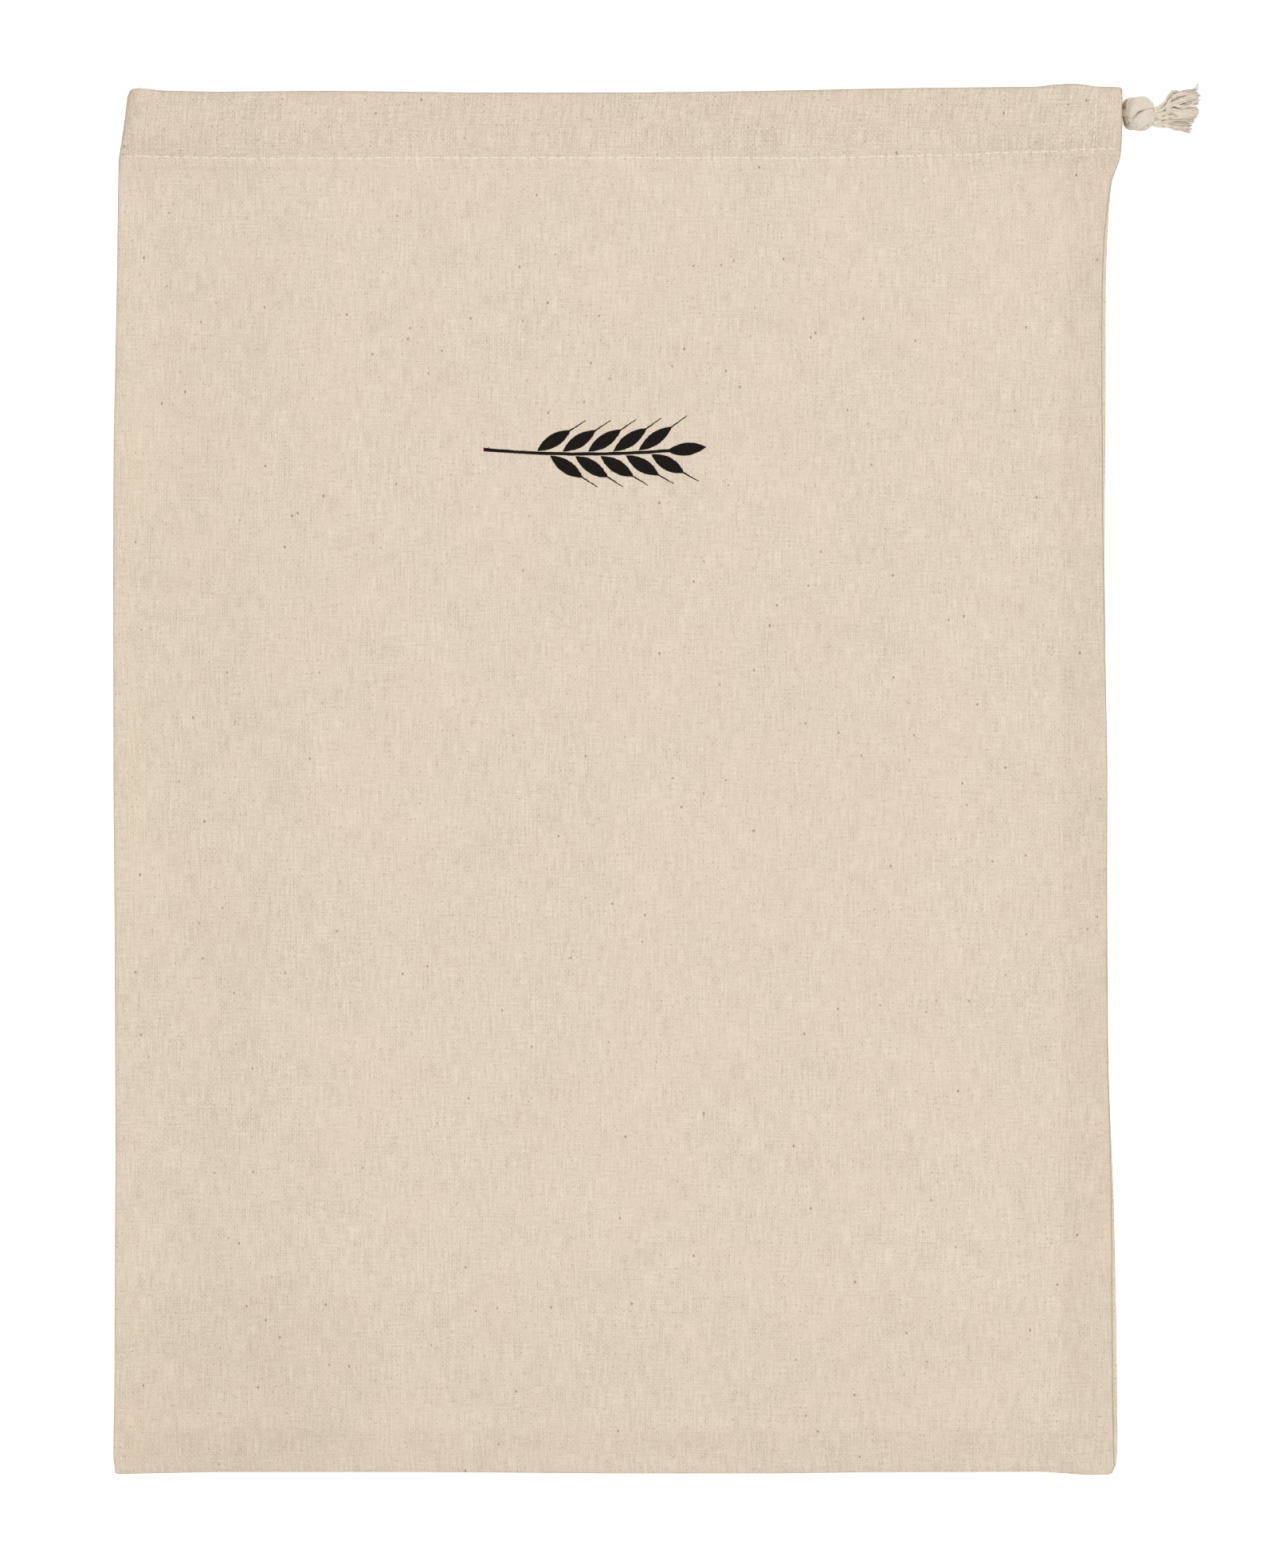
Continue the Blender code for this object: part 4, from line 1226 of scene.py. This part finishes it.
def pale_floor():
    """A plain pale floor, which isn't part of the bag."""
    floor = Finish("pale_floor", 0.9)
    coords = floor.node("ShaderNodeTexCoord", {}, {}, "Object")
    grain = floor.noise(coords, 60.0, 3.0)
    floor.feed(floor.shader.inputs["Base Color"], floor.mix(grain, *FLOOR_COLOURS))
    floor.shader.inputs["Specular IOR Level"].default_value = 0.1
    floor.shader.inputs["Emission Color"].default_value = (1.0, 1.0, 1.0, 1.0)
    floor.shader.inputs["Emission Strength"].default_value = FLOOR_GLOW
    shape = bmesh.new()
    bmesh.ops.create_grid(shape, x_segments=1, y_segments=1, size=FLOOR_HALF)
    ground = placed("floor", shape, floor.material)
    return ground


def camera():
    """Straight above the bag, with the mouth at the top of the picture."""
    data = bpy.data.cameras.new("camera")
    data.lens = LENS
    data.sensor_width = SENSOR
    data.clip_end = FARTHEST
    above = FRAME_HIGH / SENSOR * LENS
    view = bpy.data.objects.new("camera", data)
    view.location = Vector(FRAME_MIDDLE) * MM + Vector((0, 0, above * MM))
    bpy.context.scene.collection.objects.link(view)
    bpy.context.scene.camera = view


def soft_light():
    """A dim white surround, and one large soft lamp high up, a little towards the knot."""
    world = bpy.data.worlds.new("studio")
    world.use_nodes = True
    world.node_tree.nodes["Background"].inputs["Color"].default_value = (1.0, 1.0, 1.0, 1.0)
    world.node_tree.nodes["Background"].inputs["Strength"].default_value = SURROUND
    bpy.context.scene.world = world
    lamp = bpy.data.lights.new("soft_lamp", "AREA")
    lamp.shape = "SQUARE"
    lamp.size = LAMP_SIZE
    lamp.energy = LAMP_POWER
    light = bpy.data.objects.new("soft_lamp", lamp)
    light.location = LAMP_AT
    light.rotation_euler = (-Vector(LAMP_AT)).to_track_quat("-Z", "Y").to_euler()
    bpy.context.scene.collection.objects.link(light)
    bpy.context.scene.view_settings.view_transform = "Standard"


camera()
soft_light()
floor = pale_floor()
thread = sewing_thread()
cord_finish = twisted_cord("cotton_cord", CORD_COLOURS, CORD_STREAKS, knot_hollows, KNOT_SHADED)
cloth = bag_cloth(calico())
sewing = [casing_stitches(thread), slit_stitches(thread)]
drawstring(cord_finish)
cord_knot(cord_finish)
frayed_ends(twisted_cord("frayed_cotton", FRAYED_COLOURS, FRAYED_STREAKS, tuft_hollows, TUFT_SHADED))
